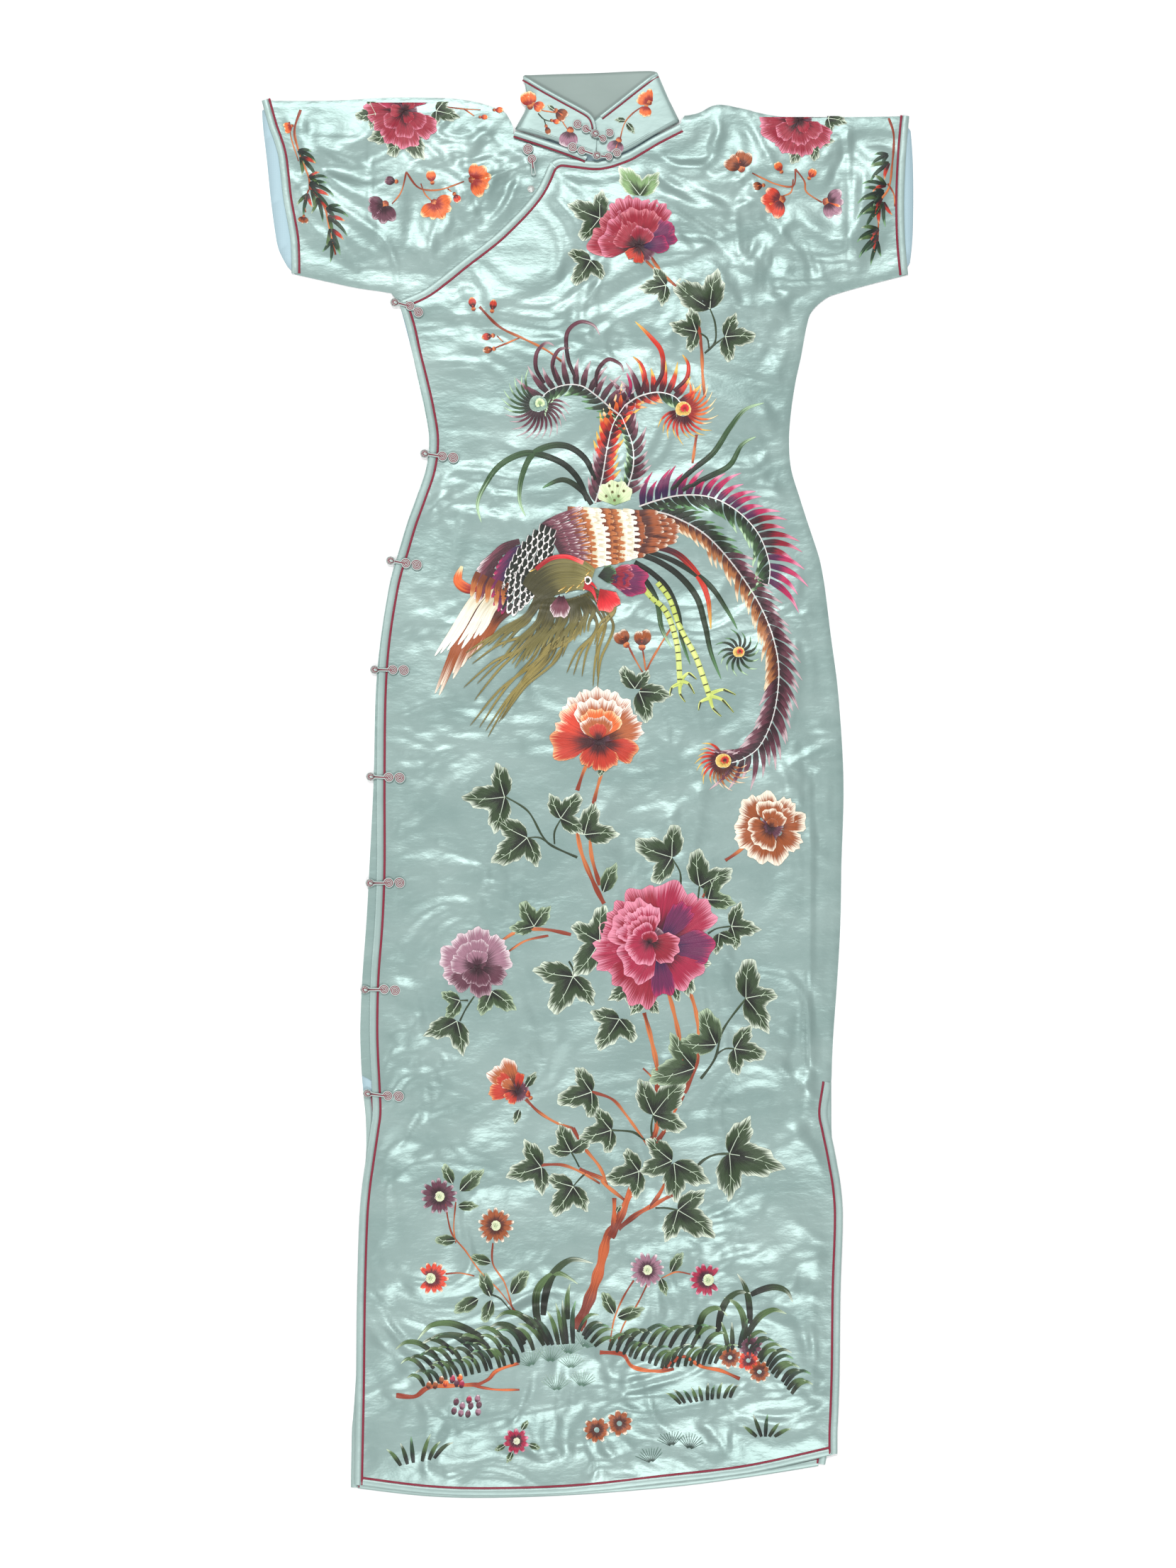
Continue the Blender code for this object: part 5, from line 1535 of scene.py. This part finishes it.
class CHEONGSAM_OT_ground(bpy.types.Operator):
    """Embroiders the grass, pebbles and pine fans along the hem"""

    bl_idname = "cheongsam.ground"
    bl_label = "Embroidered ground"

    def execute(self, context):
        work = Stitches(FRONT_LAYER.height, 41)
        for x0, y0, x1, y1, count, first, last, bend_first, bend_last, reach, wide in GRASS:
            for i in range(count):
                share = i / max(1, count - 1)
                x = x0 + (x1 - x0) * share + work.draw.uniform(-1.5, 1.5)
                y = y0 + (y1 - y0) * share
                angle = first + (last - first) * share + work.draw.uniform(-5, 5)
                bend = bend_first + (bend_last - bend_first) * share
                silk = ("grass", "leaf", "reed", "grass")[i % 4]
                work.grass(x, y, angle, reach * work.vary(0.16), wide, bend, silk)
        for silk, fans in FANS.items():
            for x, y, angle, reach in fans:
                work.fan(x, y, angle, reach, silk)
        for silk, spots in PEBBLES.items():
            for x, y in spots:
                work.bud(x, y - 3.5, 78, 7.6, silk, 19)
        work.piece("front_ground")
        return {"FINISHED"}


# ---- the phoenix ----
# The long plumes: points along each, the space between its barbs, then for each side its barbs' reach
# at the root and at the tip, lean, curl, width and silks.
PLUMES = [
    # the rose plume over the back
    (
        [(50, 270), (68, 276), (92, 281), (120, 279), (147, 264.5), (167, 242), (177, 214), (176, 194)],
        7.6, (31, 40, 74, 30, 6.6, ["violet", "plume_rose", "plume_rose", "peony", "plume_rose"]),
        (24, 27, 58, 24, 6, ["plume_dark", "plume_green"]),
    ),
    # the long maroon plume down to the hip
    (
        [(62, 266), (84, 260), (114, 243), (142, 213), (166, 177), (180, 144), (186, 109), (181, 68),
            (168, 38), (152, 25), (140, 21)],
        7.4, (24, 37, 48, 16, 6, ["plume_dark", "plume_plum", "plume_plum", "plume_plum"]),
        (23, 33, 48, 16, 6, ["plume_tan", "plume_tan", "plume_plum"]),
    ),
    # the stem of the crest plumes
    (
        [(7.4, 273), (14, 296), (19, 326), (25, 350), (36, 368)],
        7.6, (25, 27, 46, 18, 6.4, ["plume_plum", "plume_red", "amber"]),
        (22, 25, 50, 20, 6.2, ["plume_red", "plume_red"]),
    ),
    (
        [(36, 280), (44, 306), (44, 328), (38, 346), (33, 358)],
        7.6, (15, 17, 46, 16, 5.2, ["plume_green"]), (21, 26, 52, 20, 6, ["plume_plum"]),
    ),
    # the wearer's left branch, which curls over to its eye
    (
        [(36, 368), (50, 377), (68, 381), (84, 377), (92, 369)],
        7.4, (33, 29, 78, -16, 6.6, ["plume_plum", "plume_red", "plume_red"]),
        (18, 18, 58, 16, 5.4, ["ember", "plume_green"]),
    ),
    # the wearer's right branch
    (
        [(33, 358), (22, 366), (8, 378), (-6, 387), (-22, 388), (-38, 382), (-46, 373)],
        7.4, (20, 20, 56, 16, 5.8, ["plume_dark", "plume_green"]), (31, 31, 76, -16, 6.4, ["plume_plum"]),
    ),
]
# Each ribbon: its width, silk and points.
RIBBONS = [
    # green ribbons beside the crest
    (9, "plume_green", [(8, 296), (-2, 316), (-18, 328), (-36, 329), (-54, 320), (-64, 298), (-66, 276),
        (-60, 260)]),
    (9, "plume_green", [(0, 276), (-10, 298), (-28, 314), (-58, 322), (-84, 311), (-100, 290),
        (-107, 272), (-103, 254)]),
    (8, "plume_dark", [(4, 272), (-6, 286), (-24, 296), (-44, 288)]),
    (8, "plume_green", [(82, 286), (100, 304), (122, 322), (138, 346), (153, 364), (172, 371)]),
    (8, "plume_green", [(92, 286), (116, 298), (138, 310), (150, 330), (164, 338)]),
    # ribbons that hang under the back
    (9, "plume_red", [(50, 232), (70, 230), (90, 222), (108, 202), (117, 180), (120, 150)]),
    (9, "plume_dark", [(50, 224), (70, 216), (90, 202), (106, 182), (114, 156), (120, 128), (130, 102)]),
    (8, "plume_dark", [(46, 216), (62, 206), (78, 190), (88, 166), (92, 140), (100, 116)]),
    (8, "plume_green", [(44, 210), (58, 196), (68, 176), (72, 152), (82, 132)]),
    (8, "plume_dark", [(60, 226), (86, 216), (116, 196), (134, 172), (146, 150)]),
    # long curls off the wearer's right branch
    (6, "plume_plum", [(-12, 396), (-19, 414), (-20, 438), (-8, 449), (6, 446), (12, 436)]),
    (6, "plume_plum", [(-42, 390), (-50, 404), (-49, 420), (-40, 429), (-32, 426)]),
    (6, "plume_plum", [(8, 386), (10, 402), (20, 413), (32, 408), (35, 400)]),
    (6, "plume_plum", [(-30, 392), (-34, 408), (-28, 422), (-16, 424)]),
    # and off the other branch
    (7, "plume_red", [(64, 384), (73, 400), (72, 420), (62, 434), (46, 450)]),
    (6, "plume_red", [(52, 380), (56, 394), (52, 408), (44, 416)]),
    (5, "plume_rose", [(40, 376), (42, 388), (38, 400)]),
    (6, "plume_red", [(84, 382), (96, 394), (98, 408), (92, 418)]),
]
# The long feathers of the wing: their width, silk, lift and sway, then their roots and their tips.
WING = [
    (9, "nut", 0.1, -5, [(-92, 214), (-84, 190), (-74, 170)], [(-150, 84), (-124, 112), (-106, 130)]),
    (8, "cream", 0.55, -4, [(-88, 206), (-78, 182)], [(-146, 128), (-108, 140)]),
    (8, "flank", 0.8, -3, [(-66, 236), (-84, 222), (-92, 204)], [(-104, 214), (-114, 192), (-106, 176)]),
    (8, "violet", 0.95, -3, [(-62, 230), (-76, 206), (-74, 184)], [(-88, 214), (-96, 190), (-84, 164)]),
]
LEGS = [
    [(50, 196), (62, 182), (76, 168), (84, 148), (88, 128), (90, 96)],
    [(68, 196), (80, 180), (91, 150), (106, 122), (119, 84)],
]
CLAWS = [
    [(90, 100), (98, 108), (106, 102)], [(90, 100), (98, 98), (104, 88)], [(90, 98), (90, 88), (95, 80)],
    [(90, 98), (82, 94), (80, 86)], [(119, 88), (132, 92), (144, 87)], [(119, 86), (131, 82), (142, 70)],
    [(119, 84), (122, 74), (130, 66)], [(119, 84), (110, 80), (108, 72)],
]


def fringe(work, root, tips, wide, silk, lift, sway=6, pitch=0.75):
    """Long soft feathers from one line of roots to one of tips, each an S, a pitch apart in widths."""
    roots, ends = spline(root, 1.0), spline(tips, 1.0)
    count = max(4, round(length_along(ends)[-1] / (wide * pitch)))
    for i in range(count):
        share = i / (count - 1)
        a = roots[round(share * (len(roots) - 1))]
        b = ends[round(share * (len(ends) - 1))]
        long = float(np.linalg.norm(b - a))
        b = a + (b - a) * work.vary(0.10)
        side = np.array([-(b - a)[1], (b - a)[0]]) / max(long, 1.0)
        bend = sway * work.draw.uniform(0.5, 1.2)
        points = [a, a + (b - a) * 0.35 + side * bend, a + (b - a) * 0.7 + side * bend * 0.3, b]
        work.blade(points, wide, silk, lambda s: (1 - s) ** 0.5 * (0.7 + 0.6 * s), lift + 0.03 * (i % 3))


def feather_row(work, line, reach, angle, wide, silk, lift, pitch=5.2):
    """A row of short round-ended feathers, overlapped like tiles."""
    path = spline(line, 1.0)
    count = max(2, round(length_along(path)[-1] / pitch))
    for i in range(count):
        x, y = path[round((i + 0.5) / count * (len(path) - 1))]
        end = turned(x, y, angle + work.draw.uniform(-4, 4), reach * work.vary(0.06))
        middle = ((x + end[0]) / 2, (y + end[1]) / 2)
        work.blade([(x, y), middle, end], wide, silk, tile_width, lift, 2.0, 0.3, 3)


class CHEONGSAM_OT_phoenix(bpy.types.Operator):
    """Embroiders the phoenix and its plumes"""

    bl_idname = "cheongsam.phoenix"
    bl_label = "Embroidered phoenix"

    def execute(self, context):
        work = Stitches(FRONT_LAYER.height, 51)
        for wide, silk, points in RIBBONS:
            work.blade(points, wide, silk, lambda s: (1 - s) ** 0.6 * (0.55 + 0.9 * s), 0, 2.4, 0.4, 4)
        for leg in LEGS:
            work.blade(leg, 5.4, "shank", None, 0.1, 2.4, 0.7, 4)
            path = spline(leg, 7.5)[1:-1]
            for spot, side in zip(path, sideways(path)):
                ring = [spot + side * 2.5, spot - side * 2.5]
                work.blade(ring, 1.1, "claw", None, 1, 4, 0.05, 1)
        for claw in CLAWS:
            work.blade(claw, 4, "shank", lambda s: 1 - 0.7 * s, 0.2, 2, 0.5, 2)
            work.blade([claw[1], claw[2]], 1.8, "claw", lambda s: 1 - 0.8 * s, 0.8, 2, 0.1, 1)
        for plume in PLUMES:
            work.plume(*plume)
        plums = ["plume_green", "plume_plum", "plume_plum"]
        work.eye(132, 22, 8, "plume_red", "gold", ["plume_red", "plume_tan"], 110, 330, 16, 24, 60)
        work.eye(93, 364, 8, "comb", "gold", ["plume_red", "amber"], -170, 60, 18, 28, 50)
        work.eye(-48, 369, 9, "seed", "fan", plums, 130, 380, 20, 30, -50)
        work.eye(147, 128, 6, "flame", "gold", ["plume_dark", "plume_green"], 0, 340, 14, 20, 60)
        # the tail knob where the crest plumes rise
        work.petal(26.5, 271, 90, 24, 70, "seed", 0.5, 0, 0.05, 5)
        dots = [(18, 280), (24, 284), (30, 280), (35, 285), (21, 290), (29, 290), (26, 276)]
        work.beads(dots, 1.6, "olive", 1.3)
        # the body: bars of brown and cream rows between the wing and the tail
        for k in range(9):
            share = k / 8
            top = (-20 + 62 * share, 268 - 3 * share)
            foot = (-8 + 52 * share, 210 + 12 * share)
            middle = ((top[0] + foot[0]) / 2 + 3, (top[1] + foot[1]) / 2)
            silk = ("tan", "cream")[k // 2 % 2] if k < 8 else "nut"
            feather_row(work, [top, middle, foot], 13, -4, 7.5, silk, 0.95 - 0.06 * k)
        for k in range(3):
            line = [(50 + 8 * k, 264 - 4 * k), (56 + 8 * k, 246), (50 + 8 * k, 226 + 4 * k)]
            feather_row(work, line, 19, 4, 7.5, "nut", 0.5 - 0.1 * k)
        # the wing: primaries first, then coverts, then the mailed shoulder
        for wide, silk, lift, sway, roots, tips in WING:
            fringe(work, roots, tips, wide, silk, lift, sway)
        for reach in (1, 0.72, 0.45):
            roots = [(-46, 250), (-34, 236), (-24, 218)]
            tips = [(-46 + 38 * reach, 250 + 20 * reach), (-34 + 36 * reach, 236 + 6 * reach)]
            tips += [(-24 + 26 * reach, 218)]
            fringe(work, roots, tips, 4, "flank", 1.3 - 0.2 * reach, 2, 0.6)
        for k in range(12):
            share = k / 11
            x, y = -74 + 36 * share, 176 + 74 * share
            half = 1 + 17 * math.sin(math.pi * (0.1 + 0.82 * share)) ** 0.7
            line = [(x - half * 0.9, y + half * 0.4), (x, y), (x + half * 0.9, y - half * 0.4)]
            # Each dark scale lies on a pale one, so both rows draw the same chances.
            for reach, wide, silk, lift in ((11, 6, "shaft", 0.9), (9.6, 4.7, "scale", 1)):
                work.draw = np.random.default_rng(500 + k)
                feather_row(work, line, reach, 250, wide, silk, lift + 0.06 * k)
        roots, tips = [(-106, 206), (-92, 200), (-78, 196)], [(-114, 180), (-98, 176), (-82, 174)]
        fringe(work, roots, tips, 8, "tan", 1.15, -2)
        hook = [(-104, 192), (-116, 190), (-126, 198), (-122, 212)]
        work.blade(hook, 10, "amber", lambda s: np.sin(0.5 + 2.4 * s), 0.6, 2, 0.6, 5)
        # hackles of the neck, then the head
        roots = [(-46, 196), (-36, 184), (-22, 180), (-6, 184), (6, 190)]
        tips = [(-118, 128), (-114, 92), (-98, 46), (-78, 74), (-57, 112), (-28, 118), (-11, 98), (8, 98)]
        fringe(work, roots, [*tips, (6, 142)], 3.6, "hackle", 1.1, 22, 2.7)
        roots = [(-44, 192), (-26, 178), (-4, 182)]
        tips = [(-98, 140), (-74, 118), (-46, 130), (-18, 138), (0, 150)]
        fringe(work, roots, tips, 5, "olive", 1.4, 7, 1.1)
        neck = [(-54, 186), (-44, 196), (-30, 203), (-12, 204), (4, 199)]
        work.blade(neck, 36, "olive", lambda s: np.sin(0.7 + 1.9 * s) ** 0.8, 1.5, 2.4, 0.8, 12)
        for k in range(42):
            x, y = -50 + 54 * work.draw.random(), 190 + 20 * work.draw.random()
            work.blade([(x, y), turned(x, y, 205 + (x + 50) * 0.4, 7)], 0.9, "gold", None, 2.1, 3, 0.1, 1)
        work.blade([(-50, 209), (-36, 219), (-20, 221), (-4, 215)], 4.2, "comb", None, 2.1, 2.4, 0.5, 3)
        work.petal(-25, 187, 264, 25, 34, "flank", 1.9, 0.2, 0.05)
        work.blade([(-3, 193), (5, 188), (9, 177)], 7, "beak", lambda s: 1 - 0.9 * s, 2, 2, 0.8, 4)
        work.blade([(-3, 196), (4, 195), (9, 190)], 5, "comb", lambda s: 1 - 0.8 * s, 2, 2, 0.6, 4)
        for petal in (
            (12, 190, -56, 24, 44, "comb", 1.7, 0, 0.06), (14, 202, -8, 44, 30, "violet", 1, 0.2, 0.05),
            (14, 202, -4, 33, 34, "peony", 1.1, 0.1), (10, 202, 10, 18, 44, "plume_dark", 1.3),
            (0, 198, 0, 4.4, 180, "shaft", 2.4, 0, 0), (0, 198, 0, 2.8, 180, "claw", 2.7, 0, 0),
        ):
            work.petal(*petal)
        work.piece("phoenix")
        return {"FINISHED"}


VIEW_TALL = 1526.28  # how much of the table the view takes in, from top to bottom, in millimetres
SENSOR = 24.0  # the height of the camera's sensor, in millimetres


class CHEONGSAM_OT_stage(bpy.types.Operator):
    """Sets the table, the lights and the camera"""

    bl_idname = "cheongsam.stage"
    bl_label = "Stage"

    def execute(self, context):
        stage = context.scene.cheongsam_stage
        bm = bmesh.new()
        bmesh.ops.create_grid(bm, x_segments=1, y_segments=1, size=6.0)
        bmesh.ops.translate(bm, vec=(0, 0, -0.0002), verts=bm.verts)
        mesh = bpy.data.meshes.new("table_top")
        bm.to_mesh(mesh)
        bm.free()
        table = add_object("table_top", mesh)
        settings = {"Base Color": linear(stage.table_code), "Roughness": 0.9}
        mesh.materials.append(new_finish("matt_white_paint", settings)[0])
        context.scene.view_settings.view_transform = "Standard"
        world = bpy.data.worlds.new("soft_room")
        context.scene.world = world
        world.use_nodes = True
        sky = world.node_tree.nodes["Background"]
        sky.inputs["Color"].default_value = (1, 1, 1, 1)
        sky.inputs["Strength"].default_value = 0.57
        lights = [
            ("head_light", (-0.3, 2.3, 4.4), (0, 0.2, 0), 1.6, 1.1, 112),
            ("foot_light", (0.5, -2.6, 4.2), (0, -0.3, 0), 1.5, 1.0, 86),
            ("side_light", (-2.6, 0.3, 3.0), (0, 0, 0), 0.8, 1.6, 24),
        ]
        for name, spot, aim, wide, deep, power in lights:
            lamp = bpy.data.lights.new(name, "AREA")
            lamp.shape, lamp.size, lamp.size_y, lamp.energy = "RECTANGLE", wide, deep, power
            light = add_object(name, lamp)
            light.location = spot
            light.rotation_euler = (Vector(aim) - Vector(spot)).to_track_quat("-Z", "Y").to_euler()
        lens = bpy.data.cameras.new("camera")
        lens.sensor_fit = "VERTICAL"
        lens.sensor_height = SENSOR
        lens.lens = SENSOR * stage.height / (VIEW_TALL * MM)
        camera = add_object("camera", lens)
        camera.location = (0.5 * MM, 0.3 * MM, stage.height)
        context.scene.camera = camera
        return {"FINISHED"}


class CHEONGSAM_PT_panel(bpy.types.Panel):
    """Lists the steps that build the dress"""

    bl_idname = "CHEONGSAM_PT_panel"
    bl_label = "Cheongsam"
    bl_space_type = "VIEW_3D"
    bl_region_type = "UI"
    bl_category = "Cheongsam"

    def draw(self, context):
        for name, kind in SETTINGS.items():
            for key in kind.__annotations__:
                self.layout.prop(getattr(context.scene, name), key)
        for operator in OPERATORS:
            self.layout.operator(operator.bl_idname)


OPERATORS = [
    CHEONGSAM_OT_body, CHEONGSAM_OT_collar, CHEONGSAM_OT_edges, CHEONGSAM_OT_frogs,
    CHEONGSAM_OT_foliage, CHEONGSAM_OT_flowers, CHEONGSAM_OT_ground, CHEONGSAM_OT_phoenix,
    CHEONGSAM_OT_collar_trim, CHEONGSAM_OT_stage,
]
SETTINGS = {
    "cheongsam_cloth": ClothSettings,
    "cheongsam_trim": TrimSettings,
    "cheongsam_stage": StageSettings,
}


def register():
    for cls in (*SETTINGS.values(), *OPERATORS, CHEONGSAM_PT_panel):
        bpy.utils.register_class(cls)
    for key, cls in SETTINGS.items():
        setattr(bpy.types.Scene, key, bpy.props.PointerProperty(type=cls))


def unregister():
    for key in SETTINGS:
        delattr(bpy.types.Scene, key)
    for cls in (CHEONGSAM_PT_panel, *reversed(OPERATORS), *SETTINGS.values()):
        bpy.utils.unregister_class(cls)


def main():
    register()
    for operator in OPERATORS:
        group, name = operator.bl_idname.split(".")
        getattr(getattr(bpy.ops, group), name)()


if __name__ == "__main__":
    main()
